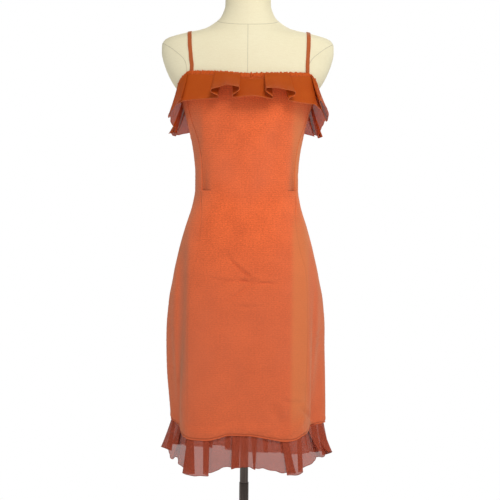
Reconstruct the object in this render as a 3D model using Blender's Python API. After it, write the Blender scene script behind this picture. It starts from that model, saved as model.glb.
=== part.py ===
"""Sheath dress with two box-pleated ruffles, worn by a limbless dress form on a pole stand.

Metres, +Z up, the origin on the floor under the pole, the front towards -Y. A place on the figure is its
height z and its turn, the angle in degrees round the pole from the front centre, growing towards +X.
"""

import math

import bmesh
import bpy
import numpy as np
from mathutils import Vector
from mathutils.bvhtree import BVHTree


def table(names, rows):
    """A table with named columns, a row for each section or fold."""
    return dict(zip(names.split(), np.array(rows, float).T))


# ---------------------------------------------------------------- the figure and the stand
# Half the width at the side seams, the depths before and behind the pole, and how square a section is:
# 2 is an ellipse. The rows under FORM_BOTTOM are the line on which the skirt hangs free.
BODY = table("z half_width front back squareness", [
    (1.500, 0.0510, 0.050, 0.058, 2.0),
    (1.441, 0.0520, 0.051, 0.059, 2.0),
    (1.426, 0.0565, 0.053, 0.062, 2.0),
    (1.412, 0.0640, 0.055, 0.066, 2.0),
    (1.401, 0.0770, 0.058, 0.069, 2.0),
    (1.387, 0.1020, 0.063, 0.073, 2.0),
    (1.376, 0.1530, 0.068, 0.078, 2.0),
    (1.364, 0.1880, 0.073, 0.082, 2.0),
    (1.350, 0.1960, 0.078, 0.086, 2.0),
    (1.333, 0.1960, 0.083, 0.090, 2.0),
    (1.319, 0.1935, 0.086, 0.093, 2.0),
    (1.292, 0.1845, 0.094, 0.097, 2.1),
    (1.265, 0.1710, 0.103, 0.100, 2.2),
    (1.245, 0.1570, 0.110, 0.100, 2.25),
    (1.225, 0.1445, 0.116, 0.099, 2.3),
    (1.206, 0.1395, 0.118, 0.097, 2.3),
    (1.183, 0.1340, 0.116, 0.093, 2.3),
    (1.144, 0.1250, 0.106, 0.086, 2.2),
    (1.100, 0.1170, 0.095, 0.079, 2.1),
    (1.060, 0.1135, 0.089, 0.074, 2.1),
    (1.025, 0.1135, 0.086, 0.074, 2.1),
    (0.991, 0.1190, 0.087, 0.082, 2.1),
    (0.936, 0.1360, 0.093, 0.101, 2.2),
    (0.880, 0.1500, 0.098, 0.112, 2.2),
    (0.825, 0.1590, 0.101, 0.115, 2.2),
    (0.769, 0.1640, 0.102, 0.109, 2.3),
    (0.735, 0.1640, 0.101, 0.104, 2.4),
    (0.660, 0.1580, 0.103, 0.101, 2.8),
    (0.580, 0.1500, 0.103, 0.100, 3.4),
    (0.500, 0.1440, 0.102, 0.098, 4.2),
    (0.440, 0.1420, 0.101, 0.097, 4.6),
])
FORM_BOTTOM = 0.735
FORM_TOP = 1.500
FORM_COLUMNS = 40
FORM_EDGE = 0.010  # rounding at the foot of the form
FORM_LEVELS = (
    [FORM_BOTTOM, FORM_BOTTOM + 0.003, FORM_BOTTOM + FORM_EDGE]
    + [0.79, 0.84, 0.89, 0.94, 0.98, 1.02, 1.06, 1.10, 1.14, 1.18, 1.20, 1.22, 1.24, 1.265, 1.29, 1.31]
    + [1.33, 1.345, 1.357, 1.366, 1.374, 1.382, 1.392, 1.405, 1.42, 1.44]
    + [FORM_TOP - 0.002, FORM_TOP]
)
POLE_RADIUS = 0.0098
SLEEVE_RADIUS, SLEEVE_TOP = 0.0110, 0.343  # the lower tube, in which the pole slides
POLE_SIDES = 24
BASE_RADIUS, BASE_THICKNESS = 0.165, 0.008
COLLAR_RADIUS, COLLAR_HEIGHT = 0.020, 0.030
FLANGE_RADIUS, FLANGE_THICKNESS = 0.045, 0.006
STAND_BEVEL, SLEEVE_BEVEL = 0.002, 0.0004
TINY = 1e-5

# ---------------------------------------------------------------- the dress
KNIT = 0.0020  # thickness of the knitted cloth
CHIFFON = 0.0010  # thickness of a ruffle's wall
SEAM_GAP = 0.0003
# How far the cloth's outside stands off the figure, and how far each pressed side seam sticks out.
DRESS = table("z ease wing_left wing_right", [
    (1.290, 0.0068, 0.000, 0.000),
    (1.200, 0.0050, 0.000, 0.000),
    (1.150, 0.0040, 0.000, 0.000),
    (0.960, 0.0040, 0.000, 0.000),
    (0.880, 0.0045, 0.001, 0.001),
    (0.825, 0.0060, 0.002, 0.003),
    (0.769, 0.0060, 0.007, 0.009),
    (0.720, 0.0060, 0.012, 0.014),
    (0.660, 0.0055, 0.019, 0.021),
    (0.580, 0.0050, 0.024, 0.032),
    (0.500, 0.0045, 0.023, 0.040),
    (0.440, 0.0040, 0.020, 0.042),
])
WING_SPREAD = 6.5  # degrees
# Turn of each long seam.
SEAMS = table("z front_left front_right", [
    (1.290, -67, 71),
    (1.180, -64, 72),
    (1.130, -61, 68),
    (1.020, -63, 71),
    (0.940, -55, 61),
    (0.905, -54, 61),
    (0.840, -57, 64),
    (0.780, -59, 63),
    (0.560, -56.5, 60),
    (0.440, -56, 58),
])
UPRIGHT_SEAMS = {"side_left": -91.0, "side_right": 93.0, "back_centre": 182.0, "back_centre_left": -178.0}
# Height of the top edge and of the knitted hem, round the body.
TOP_EDGE = table("turn z", [
    (-180, 1.236),
    (-140, 1.234),
    (-115, 1.222),
    (-92, 1.215),
    (-81, 1.229),
    (-72, 1.252),
    (-64.5, 1.274),
    (-59, 1.285),
    (-30, 1.283),
    (0, 1.279),
    (30, 1.281),
    (61, 1.283),
    (66, 1.273),
    (73, 1.251),
    (82, 1.229),
    (92, 1.215),
    (115, 1.222),
    (140, 1.234),
    (180, 1.236),
])
HEM_EDGE = table("turn z", [
    (-180, 0.466),
    (-130, 0.472),
    (-91, 0.492),
    (-75, 0.478),
    (-60, 0.466),
    (-52, 0.4625),
    (-40, 0.4625),
    (-30, 0.468),
    (-18, 0.4755),
    (5, 0.475),
    (20, 0.471),
    (32, 0.466),
    (42, 0.462),
    (49, 0.463),
    (57, 0.471),
    (70, 0.477),
    (93, 0.485),
    (135, 0.472),
    (180, 0.466),
])
TUCK_Z = 1.022  # the short cuts across the waist, inward from each front seam
TUCK_TURN = 10.0  # how far they run, in degrees
TUCK_DEPTH, TUCK_FADE = 0.0010, 0.020
HEM_RIDGE, HEM_DEPTH = 0.0008, 0.005  # the hem's stitched fold
NOMINAL_HEM, NOMINAL_TOP = 0.462, 1.283
BINDING_HEIGHT = 0.0105
CALM_LOW, CALM_HIGH = 0.56, 1.12  # between these heights a row of the cloth is level
LEVELS = (
    [NOMINAL_HEM, NOMINAL_HEM + HEM_DEPTH, NOMINAL_HEM + HEM_DEPTH + 0.0012]
    + [0.495, 0.53, 0.565, 0.60, 0.64, 0.68, 0.715, 0.75, 0.785, 0.82, 0.855, 0.89, 0.92, 0.95, 0.98, 1.003]
    + [TUCK_Z - 0.0015, TUCK_Z + 0.0015, 1.043, 1.068, 1.095, 1.12, 1.145, 1.17, 1.19, 1.21, 1.23, 1.25]
    + [NOMINAL_TOP - BINDING_HEIGHT, NOMINAL_TOP]
)
# Where the columns of points stand in each panel, as shares of its width from its first seam.
FRONT_COLUMNS = np.array([0, 0.07, 0.15, 0.24, 0.34, 0.45, 0.55, 0.66, 0.76, 0.85, 0.93, 1])
SIDE_COLUMNS = np.array([0, 0.22, 0.44, 0.62, 0.78, 0.90, 1])
BACK_COLUMNS = np.array([0, 0.045, 0.10, 0.17, 0.28, 0.40, 0.52, 0.65, 0.82, 1])
# Each panel's two seams, from left to right as seen from in front, and its columns.
PANELS = {
    "front_centre": ("front_left", "front_right", FRONT_COLUMNS),
    "side_front_left": ("side_left", "front_left", 1 - SIDE_COLUMNS[::-1]),
    "side_front_right": ("front_right", "side_right", SIDE_COLUMNS),
    "back_left": ("back_centre_left", "side_left", 1 - BACK_COLUMNS[::-1]),
    "back_right": ("side_right", "back_centre", BACK_COLUMNS),
}
DEGREE_LENGTH = 0.0018  # metres in a degree of turn on the narrowest section

BINDING, BINDING_REST = 0.0012, 0.0005
ARM_COLUMNS = 6  # how many columns of a back panel the binding of the armhole runs on over
STRAP_WIDTH, STRAP = 0.0095, 0.0020
STRAP_REST = 0.0012  # how far a strap stands off the form
# Where each strap's middle stands off the centre line: before, on the shoulder and behind.
STRAPS = {"strap_left": (-0.1265, -0.1315, -0.1080), "strap_right": (0.1330, 0.1366, 0.1120)}
STRAP_COLUMNS = 36
STRAP_SWEEP = (-30.0, 230.0)  # degrees up from straight ahead, of the rays that find where a strap lies
STRAP_SWEEP_Z, STRAP_RAYS = 1.300, 261

# Box pleats: where each box's middle lies along the edge from the front centre, how far box and recess flare
# from the vertical there, in degrees, and the cloth's depth from the seam to its free edge.
BUST_BOXES = table("middle box_flare recess_flare depth", [
    (-0.376, 30, 22, 0.068),
    (-0.268, 24, 17, 0.068),
    (-0.163, 13, 11, 0.068),
    (-0.044, 56, 47, 0.068),
    (0.064, 51, 46, 0.068),
    (0.174, 19, 16, 0.064),
    (0.278, 15, 10, 0.064),
    (0.384, 30, 22, 0.068),
])
HEM_BOXES = table("middle box_flare recess_flare depth", [
    (-0.408, 14, 8, 0.080),
    (-0.308, 16, 10, 0.074),
    (-0.208, 19, 12, 0.069),
    (-0.108, 9, 2, 0.083),
    (0.001, -11, -14, 0.078),
    (0.102, 6, 0, 0.080),
    (0.208, 28, 20, 0.068),
    (0.314, 18, 12, 0.073),
    (0.414, 14, 8, 0.080),
])
BOX_WIDTH = 0.056
BOX_FREE_WIDTH = 0.90  # of its width at the seam, where the edge fans out round the body
OVERLAP_TOP, OVERLAP_FREE = 0.016, 0.009
LAYER_TOP, LAYER_FREE = 0.0020, 0.0027  # from the middle of one layer of a pleat to the next
NOSE = 1.0  # length of a fold's rounded end, in layers
# In front a ruffle hangs straight forward; from one turn to the other it comes to stand square to the edge.
FORWARD_TURN, SQUARE_TURN = 15.0, 60.0
FORWARD_SHARE = 0.25
BUST_HEADER, BOX_HEADER = 0.0118, 0.0015  # how far under the top edge the recesses and the boxes begin
HEM_HEADER = 0.0009
RUFFLE_ROWS = (0, 0.2, 0.55, 1)

COLOURS = {
    "knit": ((0.70, 0.130, 0.045), 0.75, 0.0),
    "chiffon": ((0.42, 0.085, 0.022), 0.60, 0.0),
    "jersey": ((0.80, 0.730, 0.520), 0.85, 0.0),
    "steel": ((0.16, 0.150, 0.140), 0.35, 1.0),
}


# ---------------------------------------------------------------- curves and surfaces
def smooth(xs, ys, x):
    """The value at x of a curve through the points, with no overshoot between them; xs may fall or rise."""
    if xs[0] > xs[-1]:
        xs, ys = xs[::-1], ys[::-1]
    x = np.clip(x, xs[0], xs[-1])
    step = np.diff(xs)
    slope = np.diff(ys) / step
    product = slope[1:] * slope[:-1]
    total = np.where(product > 0, slope[1:] + slope[:-1], 1.0)
    tangent = np.concatenate([[slope[0]], np.where(product > 0, 2 * product / total, 0), [slope[-1]]])
    i = np.clip(np.searchsorted(xs, x) - 1, 0, len(xs) - 2)
    t = (x - xs[i]) / step[i]
    start = (1 + 2 * t) * (1 - t) ** 2 * ys[i] + t * (1 - t) ** 2 * step[i] * tangent[i]
    end = t * t * (3 - 2 * t) * ys[i + 1] + t * t * (t - 1) * step[i] * tangent[i + 1]
    return start + end


def ease_in_out(t):
    """0 below 0, 1 above 1 and a smooth step between."""
    t = np.clip(t, 0, 1)
    return t * t * (3 - 2 * t)


def signed_turn(turn):
    """The same turn, from -180 to 180 degrees."""
    return (turn + 180) % 360 - 180


def bell(turn, centre, spread):
    return np.exp(-0.5 * (signed_turn(turn - centre) / spread) ** 2)


def body_radius(turn, z):
    """How far the figure's surface is from the pole's axis."""
    across, along = np.abs(np.sin(np.radians(turn))), np.cos(np.radians(turn))
    half_width = smooth(BODY["z"], BODY["half_width"], z)
    front, back = smooth(BODY["z"], BODY["front"], z), smooth(BODY["z"], BODY["back"], z)
    power = smooth(BODY["z"], BODY["squareness"], z)
    depth = np.where(along > 0, front, back)
    return ((across / half_width) ** power + (np.abs(along) / depth) ** power) ** (-1 / power)


def waist_tuck(turn, z):
    """The small step at the cuts across the waist: pinched in above a cut and let out under it."""
    left, right = (smooth(SEAMS["z"], SEAMS[side], z) for side in ("front_left", "front_right"))
    inward = np.minimum(turn - left, right - turn)
    near = ease_in_out(1 - np.abs(inward) / TUCK_TURN)
    rise = z - TUCK_Z
    return -np.sign(rise) * TUCK_DEPTH * near * np.exp(-np.abs(rise) / TUCK_FADE)


def dress_radius(turn, z):
    """How far the outside of the knitted cloth is from the pole's axis."""
    wings = sum(
        smooth(DRESS["z"], DRESS[f"wing_{side}"], z)
        * bell(turn, UPRIGHT_SEAMS[f"side_{side}"], WING_SPREAD)
        for side in ("left", "right")
    )
    return body_radius(turn, z) + smooth(DRESS["z"], DRESS["ease"], z) + wings + waist_tuck(turn, z)


def place(turn, z, radius):
    angle = np.radians(turn)
    return np.stack([radius * np.sin(angle), -radius * np.cos(angle), z + 0 * radius], axis=-1)


def dress_point(turn, z, out=0.0):
    """Points on the outside of the dress, moved out along its normal."""
    turn, z = np.broadcast_arrays(np.asarray(turn, float), np.asarray(z, float))
    round_step, up_step = 0.5, 0.001
    here = place(turn, z, dress_radius(turn, z))
    around = place(turn + round_step, z, dress_radius(turn + round_step, z)) - place(
        turn - round_step, z, dress_radius(turn - round_step, z)
    )
    upward = place(turn, z + up_step, dress_radius(turn, z + up_step)) - place(
        turn, z - up_step, dress_radius(turn, z - up_step)
    )
    normal = np.cross(around, upward)
    normal /= np.linalg.norm(normal, axis=-1, keepdims=True)
    return here + normal * np.asarray(out)[..., None]


def top_edge(turn):
    return smooth(TOP_EDGE["turn"], TOP_EDGE["z"], signed_turn(turn))


def hem_edge(turn):
    return smooth(HEM_EDGE["turn"], HEM_EDGE["z"], signed_turn(turn))


def cloth_height(turn, level):
    """Height of a row of points: level in the middle, and run out to the lines of the hem and the top."""
    low = (CALM_LOW - level) / (CALM_LOW - NOMINAL_HEM)
    high = (level - CALM_HIGH) / (NOMINAL_TOP - CALM_HIGH)
    under = CALM_LOW - low * (CALM_LOW - hem_edge(turn))
    over = CALM_HIGH + high * (top_edge(turn) - CALM_HIGH)
    return np.where(level < CALM_LOW, under, np.where(level > CALM_HIGH, over, level))


# ---------------------------------------------------------------- meshes
def finished(name, mesh_data, material, angle=40):
    """An object from a bmesh, with its faces turned out and shaded smooth."""
    bmesh.ops.recalc_face_normals(mesh_data, faces=mesh_data.faces)
    mesh = bpy.data.meshes.new(name)
    mesh_data.to_mesh(mesh)
    mesh_data.free()
    mesh.shade_smooth()
    mesh.set_sharp_from_angle(angle=math.radians(angle))
    mesh.materials.append(material)
    made = bpy.data.objects.new(name, mesh)
    bpy.context.scene.collection.objects.link(made)
    return made


def wall(name, outside, inside, material):
    """A closed wall: a grid laid on the outside points, and extruded to the inside points."""
    rows, columns = outside.shape[:2]
    mesh_data = bmesh.new()
    row, column = (mesh_data.verts.layers.int.new(key) for key in ("row", "column"))
    bmesh.ops.create_grid(mesh_data, x_segments=columns - 1, y_segments=rows - 1, size=1)
    for vert in mesh_data.verts:
        vert[column] = round((vert.co.x + 1) / 2 * (columns - 1))
        vert[row] = round((vert.co.y + 1) / 2 * (rows - 1))
        vert.co = outside[vert[row], vert[column]]
    faces = mesh_data.faces[:]
    extruded = bmesh.ops.extrude_face_region(mesh_data, geom=faces, use_keep_orig=True)
    for vert in extruded["geom"]:
        if isinstance(vert, bmesh.types.BMVert):
            vert.co = inside[vert[row], vert[column]]
    return finished(name, mesh_data, material)


def turned_out(grid, distance):
    """A grid of points moved along its own normals; the normals come from its rows and columns."""
    across = np.gradient(grid, axis=1)
    down = np.gradient(grid, axis=0)
    normal = np.cross(across, down)
    normal /= np.linalg.norm(normal, axis=-1, keepdims=True)
    return grid + normal * distance


def ring_body(name, levels, columns, radius_at, material):
    """A closed body of rings, one for each level, round the pole's axis."""
    mesh_data = bmesh.new()
    bmesh.ops.create_cone(mesh_data, cap_ends=True, segments=columns, radius1=1, radius2=1, depth=1)
    upright = [edge for edge in mesh_data.edges if abs(edge.verts[0].co.z - edge.verts[1].co.z) > 0.5]
    bmesh.ops.subdivide_edges(mesh_data, edges=upright, cuts=len(levels) - 2, use_grid_fill=True)
    for vert in mesh_data.verts:
        level = levels[round((vert.co.z + 0.5) * (len(levels) - 1))]
        turn = math.degrees(math.atan2(vert.co.x, -vert.co.y))
        vert.co = place(turn, level, radius_at(turn, level))
    return finished(name, mesh_data, material)


# ---------------------------------------------------------------- form and stand
def form_radius(turn, z):
    """The figure's surface, rounded in at the form's foot."""
    rise = min((z - FORM_BOTTOM) / FORM_EDGE, 1)
    return float(body_radius(turn, z)) - FORM_EDGE * (1 - math.sqrt(1 - (1 - rise) ** 2))


def make_form(material):
    return ring_body("form_torso", FORM_LEVELS, FORM_COLUMNS, form_radius, material)


def disc(name, radius, low, high, material, bore=0.0, bevel=STAND_BEVEL):
    """A bevelled round plate, collar or tube, with a bore where one is given."""
    mesh_data = bmesh.new()
    if bore:
        inner = bmesh.ops.create_circle(mesh_data, segments=POLE_SIDES, radius=bore)["verts"]
        outer = bmesh.ops.create_circle(mesh_data, segments=POLE_SIDES, radius=radius)["verts"]
        rims = {edge for vert in inner + outer for edge in vert.link_edges}
        bmesh.ops.bridge_loops(mesh_data, edges=list(rims))
    else:
        bmesh.ops.create_circle(mesh_data, cap_ends=True, segments=2 * POLE_SIDES, radius=radius)
    bmesh.ops.translate(mesh_data, verts=mesh_data.verts, vec=(0, 0, low))
    raised = bmesh.ops.extrude_face_region(mesh_data, geom=mesh_data.faces[:], use_keep_orig=True)
    lifted = [item for item in raised["geom"] if isinstance(item, bmesh.types.BMVert)]
    bmesh.ops.translate(mesh_data, verts=lifted, vec=(0, 0, high - low))
    edges = [
        edge
        for edge in mesh_data.edges
        if all(math.hypot(*vert.co.xy) > radius - TINY and vert.co.z > low + TINY for vert in edge.verts)
        and abs(edge.verts[0].co.z - edge.verts[1].co.z) < TINY
    ]
    bmesh.ops.bevel(
        mesh_data, geom=edges, offset=bevel, segments=2, profile=0.5, affect="EDGES", material=-1
    )
    return finished(name, mesh_data, material)


def make_stand(material):
    """The base with its collar, the sleeve that stands in it, and the pole that carries the form."""
    disc("base_plate", BASE_RADIUS, 0.0, BASE_THICKNESS, material)
    floor = BASE_THICKNESS + SEAM_GAP
    disc("base_collar", COLLAR_RADIUS, floor, floor + COLLAR_HEIGHT, material, SLEEVE_RADIUS + SEAM_GAP)
    disc("pole_sleeve", SLEEVE_RADIUS, floor, SLEEVE_TOP, material, POLE_RADIUS + SEAM_GAP, SLEEVE_BEVEL)
    flange_top = FORM_BOTTOM - SEAM_GAP
    disc("form_flange", FLANGE_RADIUS, flange_top - FLANGE_THICKNESS, flange_top, material)
    seat = flange_top - FLANGE_THICKNESS - SEAM_GAP
    disc("form_collar", COLLAR_RADIUS, seat - COLLAR_HEIGHT, seat, material, POLE_RADIUS + SEAM_GAP)
    pole = bmesh.new()
    radius, length = POLE_RADIUS, seat - floor
    bmesh.ops.create_cone(
        pole, cap_ends=True, segments=POLE_SIDES, radius1=radius, radius2=radius, depth=length
    )
    bmesh.ops.translate(pole, verts=pole.verts, vec=(0, 0, floor + length / 2))
    finished("pole", pole, material)


# ---------------------------------------------------------------- dress panels
def seam_turn(name, level):
    """Turn of a seam at each level: the front seams lean and curve, and the others stand upright."""
    if name in SEAMS:
        return smooth(SEAMS["z"], SEAMS[name], level)
    return UPRIGHT_SEAMS[name] + 0 * level


def panel_turns(name, level):
    """Turn of each point of a panel, on rows at these levels, half a seam gap inside its two seams."""
    first_seam, second_seam, columns = PANELS[name]
    level, share = np.meshgrid(level, columns, indexing="ij")
    first, second = seam_turn(first_seam, level), seam_turn(second_seam, level)
    inset = SEAM_GAP / 2 / DEGREE_LENGTH
    return level, first + inset + share * (second - first - 2 * inset)


def make_panels(material):
    for name in PANELS:
        level, turn = panel_turns(name, LEVELS)
        z = cloth_height(turn, level)
        ridge = np.where(level < NOMINAL_HEM + HEM_DEPTH + TINY, HEM_RIDGE, 0.0)
        wall(name, dress_point(turn, z, ridge), dress_point(turn, z, -KNIT), material)


def make_binding(material):
    """The narrow strip that finishes the top edge, made from the top points of the panels and moved out."""
    rows = [NOMINAL_TOP - BINDING_HEIGHT, NOMINAL_TOP]
    turns = {name: panel_turns(name, rows)[1] for name in PANELS}
    back_left, back_right = turns["back_left"], turns["back_right"]
    stretches = {
        "front": turns["front_centre"],
        "left": np.hstack([back_left[:, -ARM_COLUMNS:], turns["side_front_left"]]),
        "right": np.hstack([turns["side_front_right"], back_right[:, :ARM_COLUMNS]]),
        "back": np.hstack([back_right[:, ARM_COLUMNS - 1:], back_left[:, :1 - ARM_COLUMNS] + 360]),
    }
    for name, turn in stretches.items():
        inset = SEAM_GAP / 2 / DEGREE_LENGTH
        turn[:, 0] += inset
        turn[:, -1] -= inset
        z = cloth_height(turn, np.array(rows)[:, None])
        near = dress_point(turn, z, BINDING_REST)
        far = dress_point(turn, z, BINDING_REST + BINDING)
        wall(f"binding_{name}", far, near, material)


# ---------------------------------------------------------------- straps
def make_strap(name, form_tree, material):
    """A flat strap from the front top edge over the shoulder to the back top edge, laid on the form."""
    front, top, back = STRAPS[name]
    rise = np.linspace(STRAP_SWEEP[0], STRAP_SWEEP[1], STRAP_RAYS)
    share = np.clip((rise - 90) / 90, -1, 1)
    middle = top + share**2 * np.where(share < 0, front - top, back - top)
    lines = []
    for offset in (-STRAP_WIDTH / 2, 0, STRAP_WIDTH / 2):
        hits = []
        for angle, x in zip(np.radians(rise), middle):
            start = Vector((x + offset, 0, STRAP_SWEEP_Z))
            ray = Vector((0, -math.cos(angle), math.sin(angle)))
            hits.append(form_tree.ray_cast(start, ray)[0])
        lines.append(hits)
    lines = np.array(lines)
    # The strap ends where it meets the top edge, before and behind.
    turn = np.degrees(np.arctan2(lines[..., 0], -lines[..., 1]))
    above = np.nonzero((lines[..., 2] > top_edge(turn) + 2 * SEAM_GAP).all(axis=0))[0]
    kept = lines[:, above[0]: above[-1] + 1]
    length = np.concatenate([[0], np.cumsum(np.linalg.norm(np.diff(kept[1], axis=0), axis=1))])
    at = np.linspace(0, length[-1], STRAP_COLUMNS)
    grid = np.array([[np.interp(at, length, line[:, axis]) for axis in range(3)] for line in kept])
    grid = grid.transpose(0, 2, 1)
    near = turned_out(grid, -STRAP_REST)
    far = turned_out(grid, -STRAP_REST - STRAP)
    wall(name, far, near, material)


# ---------------------------------------------------------------- ruffles
def edge_line(height):
    """The turn and the length along an edge of the dress, from the front centre."""
    turn = np.linspace(-180, 180, 721)
    points = dress_point(turn, height(turn))
    length = np.concatenate([[0], np.cumsum(np.linalg.norm(np.diff(points, axis=0), axis=1))])
    return turn, length - np.interp(0, turn, length)


def outward(turn, height):
    """The level direction in which a ruffle stands away from the body."""
    step = 0.5
    before, after = (dress_point(turn + side, height(turn + side)) for side in (-step, step))
    along = after - before
    sideways, forward = along[..., 1], -along[..., 0]
    square = ease_in_out((np.abs(turn) - FORWARD_TURN) / (SQUARE_TURN - FORWARD_TURN))
    sideways = sideways * (FORWARD_SHARE + (1 - FORWARD_SHARE) * square)
    away = np.stack([sideways, forward, 0 * forward], axis=-1)
    return away / np.linalg.norm(away, axis=-1, keepdims=True)


def box_folds(middle, width, overlap, nose):
    """One box pleat's cloth in plan: place along the edge, and layer 0 at the recess to 2 at the box."""
    half = width / 2
    left = [
        (-half + overlap - nose, 0.0),
        (-half + overlap, 0.5),
        (-half + overlap - nose, 1.0),
        (-half + nose, 1.0),
        (-half, 1.5),
        (-half + nose, 2.0),
    ]
    face = [(share * half, 2.0) for share in (-0.5, 0, 0.5)]
    right = [(-x, layer) for x, layer in reversed(left)]
    return [(middle + x, layer) for x, layer in left + face + right]


def pleated_line(middles, girth, width, overlap, nose):
    """A ruffle's cloth in plan, all round: each box with the recess before it, which has three points."""
    path = []
    for index, middle in enumerate(middles):
        previous = middles[index - 1] - (girth if index == 0 else 0)
        reach = width / 2 - overlap + nose
        held = np.linspace(previous + reach, middle - reach, 5)[1:-1]
        path += [(x, 0.0) for x in held]
        path += box_folds(middle, width, overlap, nose)
    return np.array(path)


def ruffle(name, height, header, boxes, stretches, stand_off, material):
    """A box-pleated ruffle sewn along an edge, one object for each stretch between two recesses."""
    turns, lengths = edge_line(height)
    girth = lengths[-1] - lengths[0]
    middles = boxes["middle"]
    places = np.concatenate([middles + lap * girth for lap in (-1, 0, 1)])
    grids = []
    for share in RUFFLE_ROWS:
        width = BOX_WIDTH * (1 + share * (BOX_FREE_WIDTH - 1))
        overlap = OVERLAP_TOP + share * (OVERLAP_FREE - OVERLAP_TOP)
        layer_step = LAYER_TOP + share * (LAYER_FREE - LAYER_TOP)
        path = pleated_line(middles, girth, width, overlap, NOSE * layer_step)
        along = lengths[0] + (path[:, 0] - lengths[0]) % girth
        layer = path[:, 1]
        turn = np.interp(along, lengths, turns)
        columns = (np.tile(boxes[key], 3) for key in ("box_flare", "recess_flare", "depth"))
        box, recess, depth = (np.interp(along, places, column) for column in columns)
        flare = np.radians(recess + layer / 2 * (box - recess))
        root = dress_point(turn, height(turn) - header(layer / 2), stand_off + layer * LAYER_TOP)
        spread = layer * (layer_step - LAYER_TOP)
        reach = share * depth * np.sin(flare) + spread * np.cos(flare)
        drop = share * depth * np.cos(flare) - spread * np.sin(flare)
        grids.append(root + outward(turn, height) * reach[:, None] - np.array([0, 0, 1]) * drop[:, None])
    grid = np.array(grids)
    points_each = grid.shape[1] // len(middles)
    middle_of_recess = 1
    closed = np.concatenate([grid, grid, grid], axis=1)
    for part_name, (first, count) in stretches.items():
        start = (len(middles) + first) * points_each + middle_of_recess
        piece = closed[:, start: start + count * points_each + 1].copy()
        for end, inner in ((0, 1), (-1, -2)):
            edge = piece[:, inner] - piece[:, end]
            edge /= np.linalg.norm(edge, axis=1, keepdims=True)
            piece[:, end] += edge * SEAM_GAP / 2
        outside, inside = turned_out(piece, -CHIFFON / 2), turned_out(piece, CHIFFON / 2)
        wall(f"{name}_{part_name}", outside, inside, material)


def bust_header(lift):
    """How far under the top edge the bust ruffle begins: under the binding in a recess, over it in a box."""
    return BUST_HEADER + ease_in_out((lift - 0.3) / 0.7) * (BOX_HEADER - BUST_HEADER)


def make_ruffles(material):
    bust_stretches = {"left": (1, 2), "front": (3, 2), "right": (5, 2), "back": (7, 2)}
    stand_off = 2 * SEAM_GAP + CHIFFON
    ruffle("bust_ruffle", top_edge, bust_header, BUST_BOXES, bust_stretches, stand_off, material)
    hem_stretches = {"left": (1, 2), "front": (3, 3), "right": (6, 2), "back": (8, 2)}

    def header(lift):
        return HEM_HEADER + 0 * lift

    ruffle("hem_ruffle", hem_edge, header, HEM_BOXES, hem_stretches, -KNIT, material)


def make_materials():
    made = {}
    for name, (colour, roughness, metallic) in COLOURS.items():
        material = bpy.data.materials.new(name)
        material.use_nodes = True
        shader = material.node_tree.nodes["Principled BSDF"]
        shader.inputs["Base Color"].default_value = (*colour, 1)
        shader.inputs["Roughness"].default_value = roughness
        shader.inputs["Metallic"].default_value = metallic
        made[name] = material
    return made


def main():
    for old in list(bpy.data.objects):
        bpy.data.objects.remove(old)
    material = make_materials()
    form = make_form(material["jersey"])
    make_stand(material["steel"])
    make_panels(material["knit"])
    make_binding(material["chiffon"])
    shape = bmesh.new()
    shape.from_mesh(form.data)
    form_tree = BVHTree.FromBMesh(shape)
    for name in STRAPS:
        make_strap(name, form_tree, material["knit"])
    shape.free()
    make_ruffles(material["chiffon"])


main()
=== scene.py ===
"""Looks of a sheath dress with two box-pleated chiffon ruffles, worn by a limbless dress form on its stand.

Metres, +Z up, the origin on the floor under the pole, the front towards -Y. A place on the figure is its
height z and its turn, the angle in degrees round the pole from the front centre, growing towards +X. Grids of
cloth points have a row for each height, lowest first, and a column for each turn, so that their faces point
outwards.
"""

import logging
import math
from abc import ABC, abstractmethod
from collections.abc import Callable
from dataclasses import dataclass, field
from enum import Enum
from typing import Any

import bmesh
import bpy
import numpy as np
from mathutils import Matrix, Vector
from mathutils.bvhtree import BVHTree


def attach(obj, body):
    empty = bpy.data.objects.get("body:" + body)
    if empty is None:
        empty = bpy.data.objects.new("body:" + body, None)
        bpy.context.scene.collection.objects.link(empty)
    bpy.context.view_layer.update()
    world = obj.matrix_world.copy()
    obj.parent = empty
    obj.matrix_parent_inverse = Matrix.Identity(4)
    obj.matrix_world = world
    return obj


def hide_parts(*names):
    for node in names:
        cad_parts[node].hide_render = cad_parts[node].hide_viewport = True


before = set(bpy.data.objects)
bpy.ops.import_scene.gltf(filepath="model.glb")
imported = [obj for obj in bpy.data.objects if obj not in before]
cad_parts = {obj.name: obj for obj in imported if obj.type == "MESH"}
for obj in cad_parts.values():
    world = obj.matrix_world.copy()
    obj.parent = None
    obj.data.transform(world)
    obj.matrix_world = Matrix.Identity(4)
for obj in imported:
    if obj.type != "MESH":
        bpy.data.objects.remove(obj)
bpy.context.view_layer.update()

Grid = np.ndarray
Table = dict[str, np.ndarray]
LOG = logging.getLogger("dress")
BODY = "root"
GROOVE_SHADE = "groove_shade"
WHOLE_TURN = 2 * math.pi
UP = np.array([0.0, 0.0, 1.0])


class Slot(Enum):
    """The record's finishes."""

    KNIT = "knit"
    CHIFFON = "chiffon"
    JERSEY = "jersey"
    STEEL = "steel"


def table(names: str, rows: list[tuple[float, ...]]) -> Table:
    """A table with named columns.

    Args:
        names: The columns' names, parted by spaces.
        rows: A row for each section or fold.

    Returns:
        Each column by its name.
    """
    return dict(zip(names.split(), np.array(rows, float).T))


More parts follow.
